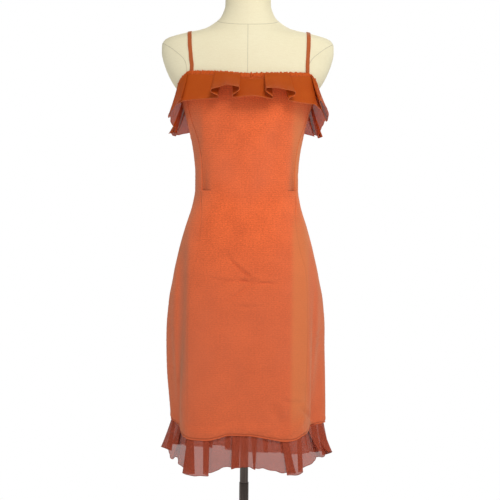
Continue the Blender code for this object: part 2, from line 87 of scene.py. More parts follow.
# ---------------------------------------------------------------- the driving sizes
FIGURE_SECTIONS = table("z half_width front back squareness", [
    (1.500, 0.0510, 0.050, 0.058, 2.0),
    (1.441, 0.0520, 0.051, 0.059, 2.0),
    (1.426, 0.0565, 0.053, 0.062, 2.0),
    (1.412, 0.0640, 0.055, 0.066, 2.0),
    (1.401, 0.0770, 0.058, 0.069, 2.0),
    (1.387, 0.1020, 0.063, 0.073, 2.0),
    (1.376, 0.1530, 0.068, 0.078, 2.0),
    (1.364, 0.1880, 0.073, 0.082, 2.0),
    (1.350, 0.1960, 0.078, 0.086, 2.0),
    (1.333, 0.1960, 0.083, 0.090, 2.0),
    (1.319, 0.1935, 0.086, 0.093, 2.0),
    (1.292, 0.1845, 0.094, 0.097, 2.1),
    (1.265, 0.1710, 0.103, 0.100, 2.2),
    (1.245, 0.1570, 0.110, 0.100, 2.25),
    (1.225, 0.1445, 0.116, 0.099, 2.3),
    (1.206, 0.1395, 0.118, 0.097, 2.3),
    (1.183, 0.1340, 0.116, 0.093, 2.3),
    (1.144, 0.1250, 0.106, 0.086, 2.2),
    (1.100, 0.1170, 0.095, 0.079, 2.1),
    (1.060, 0.1135, 0.089, 0.074, 2.1),
    (1.025, 0.1135, 0.086, 0.074, 2.1),
    (0.991, 0.1190, 0.087, 0.082, 2.1),
    (0.936, 0.1360, 0.093, 0.101, 2.2),
    (0.880, 0.1500, 0.098, 0.112, 2.2),
    (0.825, 0.1590, 0.101, 0.115, 2.2),
    (0.769, 0.1640, 0.102, 0.109, 2.3),
    (0.735, 0.1640, 0.101, 0.104, 2.4),
    (0.660, 0.1580, 0.103, 0.101, 2.8),
    (0.580, 0.1500, 0.103, 0.100, 3.4),
    (0.500, 0.1440, 0.102, 0.098, 4.2),
    (0.440, 0.1420, 0.101, 0.097, 4.6),
])
# How far the cloth's outside stands off the figure, and how far each pressed side seam sticks out.
DRESS_EASE = table("z ease wing_left wing_right", [
    (1.290, 0.0068, 0.000, 0.000),
    (1.200, 0.0050, 0.000, 0.000),
    (1.150, 0.0040, 0.000, 0.000),
    (0.960, 0.0040, 0.000, 0.000),
    (0.880, 0.0045, 0.001, 0.001),
    (0.825, 0.0060, 0.002, 0.003),
    (0.769, 0.0060, 0.007, 0.009),
    (0.720, 0.0060, 0.012, 0.014),
    (0.660, 0.0055, 0.019, 0.021),
    (0.580, 0.0050, 0.024, 0.032),
    (0.500, 0.0045, 0.023, 0.040),
    (0.440, 0.0040, 0.020, 0.042),
])
SEAM_TURNS = table("z front_left front_right", [
    (1.290, -67, 71),
    (1.180, -64, 72),
    (1.130, -61, 68),
    (1.020, -63, 71),
    (0.940, -55, 61),
    (0.905, -54, 61),
    (0.840, -57, 64),
    (0.780, -59, 63),
    (0.560, -56.5, 60),
    (0.440, -56, 58),
])
UPRIGHT_SEAMS = {"side_left": -91.0, "side_right": 93.0, "back_centre": 182.0, "back_centre_left": -178.0}
TOP_EDGE = table("turn z", [
    (-180, 1.236),
    (-140, 1.234),
    (-115, 1.222),
    (-92, 1.215),
    (-81, 1.229),
    (-72, 1.252),
    (-64.5, 1.274),
    (-59, 1.285),
    (-30, 1.283),
    (0, 1.279),
    (30, 1.281),
    (61, 1.283),
    (66, 1.273),
    (73, 1.251),
    (82, 1.229),
    (92, 1.215),
    (115, 1.222),
    (140, 1.234),
    (180, 1.236),
])
HEM_EDGE = table("turn z", [
    (-180, 0.466),
    (-130, 0.472),
    (-91, 0.492),
    (-75, 0.478),
    (-60, 0.466),
    (-52, 0.4625),
    (-40, 0.4625),
    (-30, 0.468),
    (-18, 0.4755),
    (5, 0.475),
    (20, 0.471),
    (32, 0.466),
    (42, 0.462),
    (49, 0.463),
    (57, 0.471),
    (70, 0.477),
    (93, 0.485),
    (135, 0.472),
    (180, 0.466),
])
# Soft creases pressed into the knit: where each one's middle is, the way it runs (0 is level, growing as its
# +X end rises), its half length, its width and how deep it is. A ridge has a depth under nothing.
CREASES = table("turn z angle half_length width depth", [
    (-7, 0.848, -42, 0.038, 0.0034, 0.0036),
    (-13, 0.822, 0, 0.058, 0.0030, 0.0022),
    (15, 0.818, -4, 0.044, 0.0036, 0.0030),
    (-8, 0.795, 38, 0.040, 0.0034, 0.0030),
    (6, 0.764, 0, 0.036, 0.0040, 0.0017),
    (33, 0.872, -10, 0.030, 0.0060, 0.0008),
    (-40, 0.905, 20, 0.040, 0.0090, 0.0010),
    (42, 0.900, -24, 0.038, 0.0080, 0.0010),
    (62, 0.520, -38, 0.028, 0.0050, 0.0030),
    (50, 0.548, -8, 0.024, 0.0055, 0.0022),
    (33, 0.524, -60, 0.030, 0.0110, 0.0030),
    (22, 0.490, 6, 0.024, 0.0070, -0.0030),
    (-4, 0.492, -8, 0.030, 0.0080, -0.0014),
    (-26, 0.488, 10, 0.044, 0.0065, -0.0018),
    (-47, 0.482, -6, 0.034, 0.0060, -0.0018),
    (50, 0.488, 34, 0.034, 0.0090, -0.0032),
    (41, 0.512, 52, 0.030, 0.0080, 0.0018),
    (-66, 0.690, 88, 0.190, 0.0110, 0.0042),
    (-70, 0.600, 84, 0.070, 0.0050, 0.0012),
    (62, 0.690, -88, 0.200, 0.0130, -0.0030),
    (71, 0.640, -87, 0.150, 0.0080, 0.0026),
    (80, 0.700, 8, 0.020, 0.0036, 0.0014),
    (79, 0.684, -10, 0.018, 0.0036, 0.0012),
    (81, 0.668, 6, 0.016, 0.0036, 0.0010),
    (-80, 0.705, -8, 0.018, 0.0036, 0.0014),
    (-81, 0.618, 10, 0.018, 0.0040, 0.0014),
    (-72, 1.075, 14, 0.024, 0.0060, 0.0007),
    (78, 1.060, -16, 0.024, 0.0060, 0.0007),
    (-80, 1.140, 30, 0.026, 0.0060, 0.0006),
    (-110, 0.985, 10, 0.034, 0.0070, 0.0012),
    (-150, 1.030, -8, 0.050, 0.0075, 0.0016),
    (160, 1.010, 6, 0.046, 0.0070, 0.0014),
    (118, 0.990, -12, 0.036, 0.0070, 0.0011),
    (-165, 0.985, 4, 0.036, 0.0065, 0.0010),
    (150, 1.120, -30, 0.050, 0.0090, 0.0008),
    (-140, 1.110, 28, 0.046, 0.0090, 0.0008),
    (150, 0.760, 60, 0.060, 0.0100, 0.0012),
    (-145, 0.740, -64, 0.064, 0.0100, 0.0012),
    (-120, 0.560, 82, 0.110, 0.0100, 0.0030),
    (124, 0.580, -84, 0.120, 0.0110, 0.0030),
    (-160, 0.520, 20, 0.044, 0.0080, 0.0018),
    (140, 0.510, -26, 0.036, 0.0070, 0.0020),
    (170, 0.640, -12, 0.044, 0.0070, 0.0010),
    (-175, 0.486, 4, 0.050, 0.0070, -0.0018),
    (150, 0.490, -6, 0.040, 0.0070, -0.0020),
])
# Pleats, a row for each box from left to right: where its middle lies along the edge from the front centre,
# its width at the seam and at the free edge, how far each side laps under at both, how far the free edge
# leans along the seam; then, for the box and for the recess on its left, the flare from the vertical in
# degrees, the cloth's depth and how far under the edge it begins.
PLEAT_COLUMNS = (
    "middle width free_width left_lap left_free right_lap right_free lean "
    "box_flare box_depth box_head recess_flare recess_depth recess_head"
)
BUST_PLEATS = table(PLEAT_COLUMNS, [
    (-0.376, 0.056, 0.052, 0.016, 0.012, 0.016, 0.010, 0.001, 30, 0.068, 0.0020, 22, 0.068, 0.0060),
    (-0.268, 0.056, 0.051, 0.016, 0.010, 0.016, 0.013, -0.003, 24, 0.068, 0.0020, 18, 0.066, 0.0040),
    (-0.163, 0.056, 0.050, 0.016, 0.012, 0.016, 0.011, 0.002, 13, 0.068, 0.0015, 12, 0.068, 0.0040),
    (-0.044, 0.056, 0.056, 0.016, 0.013, 0.016, 0.014, 0.000, 58, 0.068, 0.0025, 27, 0.070, 0.0030),
    (0.064, 0.056, 0.056, 0.016, 0.014, 0.016, 0.012, 0.001, 53, 0.068, 0.0020, 52, 0.068, 0.0118),
    (0.174, 0.056, 0.050, 0.016, 0.011, 0.016, 0.010, -0.002, 19, 0.064, 0.0015, 23, 0.072, 0.0030),
    (0.278, 0.056, 0.052, 0.016, 0.013, 0.016, 0.011, 0.003, 17, 0.071, 0.0020, 12, 0.070, 0.0040),
    (0.384, 0.056, 0.051, 0.016, 0.010, 0.016, 0.012, -0.001, 30, 0.068, 0.0020, 22, 0.066, 0.0060),
])
HEM_PLEATS = table(PLEAT_COLUMNS, [
    (-0.408, 0.056, 0.052, 0.015, 0.012, 0.014, 0.010, 0.002, 14, 0.074, 0, 8, 0.082, 0),
    (-0.308, 0.056, 0.052, 0.014, 0.010, 0.014, 0.012, -0.003, 16, 0.074, 0, 10, 0.074, 0),
    (-0.208, 0.056, 0.052, 0.016, 0.014, 0.016, 0.012, 0.002, 19, 0.069, 0, 12, 0.069, 0),
    (-0.108, 0.056, 0.052, 0.018, 0.018, 0.015, 0.014, 0.001, 9, 0.083, 0, 4, 0.078, 0),
    (0.001, 0.056, 0.054, 0.018, 0.018, 0.014, 0.004, -0.003, -11, 0.078, 0, -10, 0.080, 0),
    (0.110, 0.050, 0.030, 0.016, 0.019, 0.011, 0.007, 0.002, 6, 0.080, 0, -6, 0.076, 0),
    (0.208, 0.056, 0.054, 0.010, 0.009, 0.009, 0.008, -0.002, 37, 0.072, 0, 18, 0.071, 0),
    (0.314, 0.056, 0.052, 0.011, 0.009, 0.014, 0.011, 0.002, 18, 0.090, 0, 12, 0.078, 0),
    (0.414, 0.056, 0.052, 0.015, 0.011, 0.014, 0.010, -0.002, 14, 0.094, 0, 8, 0.092, 0),
])
# Soft upright bands of painted sheen and painted shade on the front, where the cloth turns away from the
# light:
# the edges and ends of each, how strong it is, and whether it is olive (painted sheen) or drab (painted shade
# with a greyish sheen).
PAINTED_SHEEN_AND_SHADE_BANDS = table("left right low high share olive", [
    (0.104, 0.142, 0.50, 0.96, 0.55, 1),
    (-0.150, -0.130, 0.58, 0.92, 0.42, 0),
    (-0.126, -0.100, 1.00, 1.19, 0.30, 0),
    (0.102, 0.126, 1.03, 1.20, 0.50, 1),
])
# Each strap's middle before, on the shoulder and behind.
STRAP_LINES = {"strap_left": (-0.1240, -0.1315, -0.1080), "strap_right": (0.1330, 0.1366, 0.1120)}


# ---------------------------------------------------------------- curves
def smooth(xs: Grid, ys: Grid, x: Grid | float) -> Grid:
    """The value at x of a curve through points, with no overshoot between them.

    Args:
        xs: The points' places, rising or falling.
        ys: The points' values.
        x: Where the curve is read.

    Returns:
        The curve's value at each x.
    """
    if xs[0] > xs[-1]:
        xs, ys = xs[::-1], ys[::-1]
    x = np.clip(x, xs[0], xs[-1])
    step = np.diff(xs)
    slope = np.diff(ys) / step
    product = slope[1:] * slope[:-1]
    total = np.where(product > 0, slope[1:] + slope[:-1], 1.0)
    tangent = np.concatenate([[slope[0]], np.where(product > 0, 2 * product / total, 0), [slope[-1]]])
    i = np.clip(np.searchsorted(xs, x) - 1, 0, len(xs) - 2)
    t = (x - xs[i]) / step[i]
    start = (1 + 2 * t) * (1 - t) ** 2 * ys[i] + t * (1 - t) ** 2 * step[i] * tangent[i]
    end = t * t * (3 - 2 * t) * ys[i + 1] + t * t * (t - 1) * step[i] * tangent[i + 1]
    return start + end


def ease_in_out(t: Grid | float) -> Grid:
    """0 below 0, 1 above 1 and a smooth step between."""
    t = np.clip(t, 0, 1)
    return t * t * (3 - 2 * t)


def signed_turn(turn: Grid | float) -> Grid:
    """The same turn, from -180 to 180 degrees."""
    return (turn + 180) % 360 - 180


def bell(distance: Grid | float, spread: float) -> Grid:
    """1 at no distance, falling off smoothly on both sides."""
    return np.exp(-0.5 * (distance / spread) ** 2)


def unit(vectors: Grid) -> Grid:
    """The same vectors at length 1."""
    return vectors / np.maximum(np.linalg.norm(vectors, axis=-1, keepdims=True), 1e-12)


def wander(x: Grid, period: float, seed: int) -> Grid:
    """A smooth uneven wave from about -1 to 1.

    Args:
        x: Where the wave is read.
        period: Its usual wavelength.
        seed: Which wave of this kind.

    Returns:
        The wave's value at each x.
    """
    random = np.random.default_rng(seed)
    waves = zip(random.uniform(0.62, 1.7, 5), random.uniform(0, 2 * math.pi, 5))
    return sum(np.sin(2 * math.pi * x / period * rate + phase) for rate, phase in waves) / 2.6


def length_along(points: Grid) -> Grid:
    """The length of a line from its first point to each of its points."""
    return np.concatenate([[0.0], np.cumsum(np.linalg.norm(np.diff(points, axis=0), axis=1))])


# ---------------------------------------------------------------- shader maths
class Signal:
    """A number that changes over a surface, held as a node's socket; arithmetic on it adds Math nodes."""

    def __init__(self, graph: "Graph", socket: bpy.types.NodeSocket) -> None:
        """Wraps a socket of the graph."""
        self.graph = graph
        self.socket = socket

    def _math(self, operation: str, first: Any, second: Any = 0.0) -> "Signal":
        """Adds a Math node and returns its output."""
        node = self.graph.node("ShaderNodeMath", {"operation": operation}, {0: first, 1: second})
        return Signal(self.graph, node.outputs[0])

    def __add__(self, other: Any) -> "Signal":
        """This number and another."""
        return self._math("ADD", self, other)

    __radd__ = __add__

    def __sub__(self, other: Any) -> "Signal":
        """This number less another."""
        return self._math("SUBTRACT", self, other)

    def __rsub__(self, other: Any) -> "Signal":
        """Another number less this one."""
        return self._math("SUBTRACT", other, self)

    def __mul__(self, other: Any) -> "Signal":
        """This number times another."""
        return self._math("MULTIPLY", self, other)

    __rmul__ = __mul__

    def sine(self) -> "Signal":
        """The sine of this number, in radians."""
        return self._math("SINE", self)


class Graph:
    """A material's node tree, with its Principled shader at hand."""

    def __init__(self, name: str) -> None:
        """Makes a material with its nodes.

        Args:
            name: The material's name.
        """
        self.material = bpy.data.materials.new(name)
        self.material.use_nodes = True
        self.tree = self.material.node_tree
        self.shader = self.tree.nodes["Principled BSDF"]

    def node(
        self, kind: str, settings: dict[str, Any] | None = None, inputs: dict[Any, Any] | None = None
    ) -> Any:
        """Adds a node.

        Args:
            kind: The node's type.
            settings: Its own settings; "stops" are a ramp's places and colours.
            inputs: A value, Signal or socket for each of its sockets that is set.

        Returns:
            The node.
        """
        made = self.tree.nodes.new(kind)
        for key, value in (settings or {}).items():
            if key == "stops":
                ramp = made.color_ramp
                while len(ramp.elements) < len(value):
                    ramp.elements.new(0.5)
                for element, (place, colour) in zip(ramp.elements, value):
                    element.position = place
                    element.color = colour
            else:
                setattr(made, key, value)
        for key, value in (inputs or {}).items():
            self.feed(made.inputs[key], value)
        return made

    def feed(self, socket: bpy.types.NodeSocket, value: Any) -> None:
        """Fills a socket.

        Args:
            socket: The socket.
            value: A Signal or socket that is linked into it, or its own value.
        """
        if isinstance(value, Signal):
            value = value.socket
        if isinstance(value, bpy.types.NodeSocket):
            self.tree.links.new(value, socket)
        else:
            socket.default_value = value

    def place(self, stretch: tuple[float, float, float] = (1.0, 1.0, 1.0), cut: bool = False) -> Any:
        """Where a point is, in metres.

        Args:
            stretch: What each axis is multiplied by.
            cut: Whether to read the place on the flat cut cloth and not the place in space.

        Returns:
            A vector socket.
        """
        if cut:
            source = self.node("ShaderNodeUVMap", {"uv_map": "cut"}).outputs[0]
        else:
            source = self.node("ShaderNodeTexCoord").outputs["Object"]
        node = self.node("ShaderNodeVectorMath", {"operation": "MULTIPLY"}, {0: source, 1: stretch})
        return node.outputs[0]

    def axis(self, vector: Any, index: int) -> Signal:
        """One axis of a vector."""
        return Signal(self, self.node("ShaderNodeSeparateXYZ", {}, {0: vector}).outputs[index])

    def noise(self, vector: Any, scale: float, detail: float = 2.0) -> Signal:
        """Soft noise from 0 to 1, with about `scale` lumps to a unit of the vector."""
        node = self.node("ShaderNodeTexNoise", {}, {"Vector": vector, "Scale": scale, "Detail": detail})
        return Signal(self, node.outputs["Fac"])

    def step(self, signal: Signal, low: float, high: float) -> Signal:
        """A smooth step.

        Args:
            signal: What it follows.
            low: Up to where it is 0.
            high: From where it is 1.

        Returns:
            The step's height.
        """
        settings = {"interpolation_type": "SMOOTHSTEP"}
        node = self.node("ShaderNodeMapRange", settings, {"Value": signal, "From Min": low, "From Max": high})
        return Signal(self, node.outputs["Result"])

    def mix(self, share: Any, first: Any, second: Any) -> Any:
        """A colour between two, nearer the second as the share grows."""
        node = self.node("ShaderNodeMix", {"data_type": "RGBA"}, {0: share, 6: first, 7: second})
        return node.outputs[2]

    def bump(self, height: Signal, distance: float, strength: float = 1.0) -> None:
        """Gives the shader a relief of that height, in metres from its lowest to its highest."""
        inputs = {"Height": height, "Distance": distance, "Strength": strength}
        self.feed(self.shader.inputs["Normal"], self.node("ShaderNodeBump", {}, inputs).outputs[0])

    def dress(self, **values: Any) -> None:
        """Feeds the shader's sockets, each named with _ for its spaces."""
        for key, value in values.items():
            self.feed(self.shader.inputs[key.replace("_", " ")], value)


def colour(red: float, green: float, blue: float) -> tuple[float, float, float, float]:
    """An opaque colour from linear values."""
    return (red, green, blue, 1.0)


# ---------------------------------------------------------------- finishes
class Finish(ABC):
    """A surface finish, made into a material once."""

    @abstractmethod
    def material(self) -> bpy.types.Material:
        """Builds the finish's material and returns it."""


@dataclass(frozen=True)
class KnitFinish(Finish):
    """Ribbed double knit with a soft nap.

    Attributes:
        light, deep: The colours of the ribs' crowns and between the ribs, partly painted shade in the rib
            valleys and partly random mottling.
        faded: The colour where the cloth has been pressed and washed out.
        low, low_z, low_share: The lower skirt's painted shade: its colour, between which heights it begins,
            and its share.
        groove: The painted shade colour in the seams, over the hem's stitches and on its lip, along the waist
            cuts and in the hollows over them.
        olive, drab: The painted sheen colour and the painted shade colour of the soft bands down the sides.
        drift_scale, drift: How many bends a rib has in a metre, and how far it bends, in radians.
        mottle_lumps, grain_lumps, wash_lumps: How many lumps each noise has in a metre, on each axis.
        rib_share, wale_share, mottle_share, grain_share, patch_share: What each adds to the tone.
        tone_range, wash_range: Between which values the tone lightens and the wash fades in.
        streak_blur: How soft a painted band's sides and its ends are.
        front_y: Between which places on the Y axis a painted band fades out towards the back.
    """

    name: str = "ribbed_knit"
    light: tuple[float, ...] = colour(0.930, 0.158, 0.040)
    deep: tuple[float, ...] = colour(0.560, 0.082, 0.021)
    faded: tuple[float, ...] = colour(0.700, 0.145, 0.060)
    low: tuple[float, ...] = colour(0.560, 0.118, 0.052)
    low_z: tuple[float, float] = (0.72, 1.00)
    low_share: float = 0.50
    groove: tuple[float, ...] = colour(0.230, 0.034, 0.008)
    olive: tuple[float, ...] = colour(0.640, 0.190, 0.060)
    drab: tuple[float, ...] = colour(0.330, 0.125, 0.075)
    rib_pitch: float = 0.0042
    wale_pitch: float = 0.0036
    stitch_pitch: float = 0.0014
    drift_scale: float = 60.0
    drift: float = 5.0
    mottle_lumps: tuple[float, float, float] = (220.0, 370.0, 1.0)
    grain_lumps: tuple[float, float, float] = (430.0, 560.0, 1.0)
    patch_scale: float = 22.0
    rib_share: float = 0.05
    wale_share: float = 0.045
    mottle_share: float = 0.80
    grain_share: float = 0.80
    patch_share: float = 0.45
    tone_range: tuple[float, float] = (0.1, 0.9)
    wash_lumps: tuple[float, float, float] = (5.0, 5.0, 3.2)
    wash_range: tuple[float, float] = (0.42, 0.72)
    wash_share: float = 0.55
    streak_blur: tuple[float, float] = (0.007, 0.05)
    front_y: tuple[float, float] = (-0.03, 0.0)
    bump_depth: float = 0.0006

    def material(self) -> bpy.types.Material:
        """Ribs and wales on the cut, softened by noise, under a low sheen.

        Returns:
            The material.
        """
        graph = Graph(self.name)
        cut = graph.place(cut=True)
        across, along = graph.axis(cut, 0), graph.axis(cut, 1)
        drift = graph.noise(cut, self.drift_scale, 1) * self.drift
        ribs = (along * (WHOLE_TURN / self.rib_pitch) + drift).sine()
        wales = (across * (WHOLE_TURN / self.wale_pitch) + drift * 0.7).sine()
        stitch_rows = (along * (WHOLE_TURN / self.stitch_pitch)).sine()
        stitch_columns = (across * (WHOLE_TURN / self.stitch_pitch)).sine()
        mottle = graph.noise(graph.place(self.mottle_lumps, cut=True), 1.0, 2)
        grain = graph.noise(graph.place(self.grain_lumps, cut=True), 1.0, 3)
        patches = graph.noise(graph.place(), self.patch_scale, 3)
        # The ribs and wales put painted shade in their valleys; the mottle, grain and patches are the knit's
        # random tone.
        relief = 0.5 + self.rib_share * ribs + self.wale_share * wales
        relief = relief + self.mottle_share * (mottle - 0.5) + self.grain_share * (grain - 0.5)
        relief = relief + self.patch_share * (patches - 0.5)
        body = graph.mix(graph.step(relief, *self.tone_range), self.deep, self.light)
        wash = graph.step(graph.noise(graph.place(self.wash_lumps), 1.0, 3), *self.wash_range)
        worn = graph.mix(wash * self.wash_share, body, self.faded)
        # Painted shade: the cloth darkens towards the skirt's bottom, for the light falling off lower down.
        lower = 1 - graph.step(graph.axis(graph.place(), 2), *self.low_z)
        worn = graph.mix(lower * self.low_share, worn, self.low)
        # Painted sheen (olive) and painted shade (drab) in soft bands where the cloth turns away from the
        # light.
        for left, right, low, high, share, olive in zip(*PAINTED_SHEEN_AND_SHADE_BANDS.values()):
            place = self.painted_band(graph, (left, right), (low, high)) * float(share)
            worn = graph.mix(place, worn, self.olive if olive else self.drab)
        # Painted shade from the groove_shade attribute: the seams, the hem's groove and lip, the waist cuts
        # and the hollows over them.
        shaded = graph.node("ShaderNodeAttribute", {"attribute_name": GROOVE_SHADE}).outputs["Fac"]
        graph.dress(
            Base_Color=graph.mix(shaded, worn, self.groove),
            Roughness=0.74 + 0.1 * mottle,
            Sheen_Weight=0.20,
            Sheen_Roughness=0.58,
            Sheen_Tint=colour(0.62, 0.90, 0.60),
            Specular_IOR_Level=0.15,
        )
        height = relief + 0.10 * ribs + 0.10 * stitch_rows * stitch_columns
        graph.bump(height, self.bump_depth, 0.55)
        return graph.material

    def painted_band(self, graph: Graph, across: tuple[float, float], up: tuple[float, float]) -> Signal:
        """A soft upright band on the front, where the table's painted sheen and painted shade are laid.

        Args:
            graph: The material's graph.
            across: Its left and right edges on the X axis.
            up: Its lower and upper ends.

        Returns:
            0 around it and 1 inside.
        """
        here = graph.place()
        x, y, z = (graph.axis(here, index) for index in range(3))
        inside = 1 - graph.step(y, *self.front_y)
        for axis, (first, last), blur in zip((x, z), (across, up), self.streak_blur):
            inside = inside * graph.step(axis, first - blur, first + blur)
            inside = inside * (1 - graph.step(axis, last - blur, last + blur))
        return inside


@dataclass(frozen=True)
class ChiffonFinish(Finish):
    """Sheer crisp chiffon, whose colour deepens where layers lie on each other.

    Attributes:
        thread, dusty: The threads' colour, and where the crêpe twist catches the light.
        cover: How much of what is behind it one face of the cloth hides; a layer has two faces.
        rear_cover: The same away from the front, where more layers lie behind each other.
        rear_y: Between which places on the Y axis the one cover turns into the other.
        tone_range: Between which values the threads turn dusty.
    """

    name: str = "chiffon"
    thread: tuple[float, ...] = colour(0.500, 0.060, 0.006)
    dusty: tuple[float, ...] = colour(0.560, 0.090, 0.016)
    cover: float = 0.40
    rear_cover: float = 0.40
    rear_y: tuple[float, float] = (-0.10, -0.03)
    crepe_pitch: float = 0.0016
    cloud_scale: float = 28.0
    warp_pitch: float = 0.0021
    weft_pitch: float = 0.0024
    tone_range: tuple[float, float] = (0.32, 0.74)
    dusty_share: float = 0.7
    bump_depth: float = 0.0004

    def material(self) -> bpy.types.Material:
        """A fine crêpe whose cover varies a little from thread to thread.

        Returns:
            The material.
        """
        graph = Graph(self.name)
        cut = graph.place(cut=True)
        across, along = graph.axis(cut, 0), graph.axis(cut, 1)
        twist = graph.noise(cut, 1 / self.crepe_pitch, 3)
        cloud = graph.noise(cut, self.cloud_scale, 2)
        warp = (across * (WHOLE_TURN / self.warp_pitch) + 4 * cloud).sine()
        weft = (along * (WHOLE_TURN / self.weft_pitch) + 3 * cloud).sine()
        light = graph.step(0.62 * twist + 0.38 * cloud + 0.05 * warp, *self.tone_range)
        graph.dress(
            Base_Color=graph.mix(light * self.dusty_share, self.thread, self.dusty),
            Roughness=0.50 + 0.16 * twist,
            Sheen_Weight=0.06,
            Sheen_Roughness=0.35,
            Specular_IOR_Level=0.12,
        )
        if self.cover < 1:
            rear = graph.step(graph.axis(graph.place(), 1), *self.rear_y)
            cover = self.cover + (self.rear_cover - self.cover) * rear
            graph.dress(Alpha=cover + 0.10 * (twist - 0.5) + 0.03 * warp * weft)
        graph.bump(twist + 0.3 * cloud + 0.12 * weft, self.bump_depth, 0.5)
        return graph.material


@dataclass(frozen=True)
class JerseyFinish(Finish):
    """Cream cotton jersey, drawn tight over the form.

    Attributes:
        shade: Its colour where it has yellowed.
        slub_lumps: How many thick places there are in a metre, on each axis.
    """

    name: str = "cream_jersey"
    light: tuple[float, ...] = colour(0.805, 0.738, 0.535)
    shade: tuple[float, ...] = colour(0.740, 0.658, 0.452)
    weave_pitch: float = 0.0012
    slub_lumps: tuple[float, float, float] = (90.0, 90.0, 700.0)
    cloud_scale: float = 9.0
    tone_range: tuple[float, float] = (0.3, 0.7)
    bump_depth: float = 0.0005

    def material(self) -> bpy.types.Material:
        """A fine plain weave, a little yellowed in clouds.

        Returns:
            The material.
        """
        graph = Graph(self.name)
        here = graph.place()
        fine = graph.noise(here, 1 / self.weave_pitch, 2)
        slubs = graph.noise(graph.place(self.slub_lumps), 1.0, 2)
        cloud = graph.noise(here, self.cloud_scale, 3)
        tone = graph.step(0.45 * fine + 0.25 * slubs + 0.3 * cloud, *self.tone_range)
        graph.dress(
            Base_Color=graph.mix(tone, self.shade, self.light),
            Roughness=0.82 + 0.08 * fine,
            Sheen_Weight=0.15,
            Sheen_Roughness=0.5,
            Specular_IOR_Level=0.2,
        )
        graph.bump(0.6 * fine + 0.4 * slubs, self.bump_depth, 0.4)
        return graph.material


@dataclass(frozen=True)
class ThreadFinish(Finish):
    """Twisted sewing thread."""

    name: str
    tone: tuple[float, ...]
    twist_scale: float = 1400.0
    dark_share: float = 0.6
    bump_depth: float = 0.0003

    def material(self) -> bpy.types.Material:
        """Thread whose twist shows as fine light and dark.

        Returns:
            The material.
        """
        graph = Graph(self.name)
        twist = graph.noise(graph.place(), self.twist_scale, 1)
        dark = colour(*(self.dark_share * value for value in self.tone[:3]))
        graph.dress(Base_Color=graph.mix(twist, dark, self.tone), Roughness=0.6, Sheen_Weight=0.2)
        graph.bump(twist, self.bump_depth, 0.5)
        return graph.material


@dataclass(frozen=True)
class SteelFinish(Finish):
    """Dark polished tube with fine drawn lines round or along it.

    Attributes:
        bright, dull: The polished metal's colour, and the one in its drawn lines and rubbed places.
        lines, rubbed_lumps: How many there are in a metre, on each axis.
    """

    name: str = "polished_tube"
    bright: tuple[float, ...] = colour(0.100, 0.082, 0.072)
    dull: tuple[float, ...] = colour(0.050, 0.040, 0.035)
    lines: tuple[float, float, float] = (420.0, 420.0, 5.0)
    roughness: float = 0.24
    rubbed_lumps: tuple[float, float, float] = (18.0, 18.0, 9.0)
    tone_range: tuple[float, float] = (0.35, 0.66)
    bump_depth: float = 0.0001

    def material(self) -> bpy.types.Material:
        """Metal whose lines vary its tone and its gloss.

        Returns:
            The material.
        """
        graph = Graph(self.name)
        drawn = graph.noise(graph.place(self.lines), 1.0, 3)
        rubbed = graph.noise(graph.place(self.rubbed_lumps), 1.0, 2)
        tone = graph.step(0.7 * drawn + 0.3 * rubbed, *self.tone_range)
        graph.dress(
            Base_Color=graph.mix(tone, self.dull, self.bright),
            Metallic=1.0,
            Roughness=self.roughness + 0.18 * (drawn - 0.5) + 0.10 * (rubbed - 0.5),
        )
        graph.bump(drawn, self.bump_depth, 0.25)
        return graph.material


@dataclass(frozen=True)
class FloorFinish(Finish):
    """A pale studio floor that fades out into the white behind it."""

    name: str = "pale_floor"
    paint: tuple[float, ...] = colour(0.86, 0.85, 0.84)
    near: float = 0.55
    far: float = 1.00

    def material(self) -> bpy.types.Material:
        """Matt near the stand and as bright as the background further out.

        Returns:
            The material.
        """
        graph = Graph(self.name)
        here = graph.place((1.0, 1.0, 0.0))
        distance = graph.node("ShaderNodeVectorMath", {"operation": "LENGTH"}, {0: here}).outputs["Value"]
        share = graph.step(Signal(graph, distance), self.near, self.far)
        graph.dress(Base_Color=self.paint, Roughness=0.9, Specular_IOR_Level=0.1)
        glow = graph.node("ShaderNodeEmission", {}, {"Color": colour(1, 1, 1), "Strength": 1.0})
        sockets = {0: share, 1: graph.shader.outputs[0], 2: glow.outputs[0]}
        blend = graph.node("ShaderNodeMixShader", {}, sockets)
        graph.tree.links.new(blend.outputs[0], graph.tree.nodes["Material Output"].inputs[0])
        return graph.material


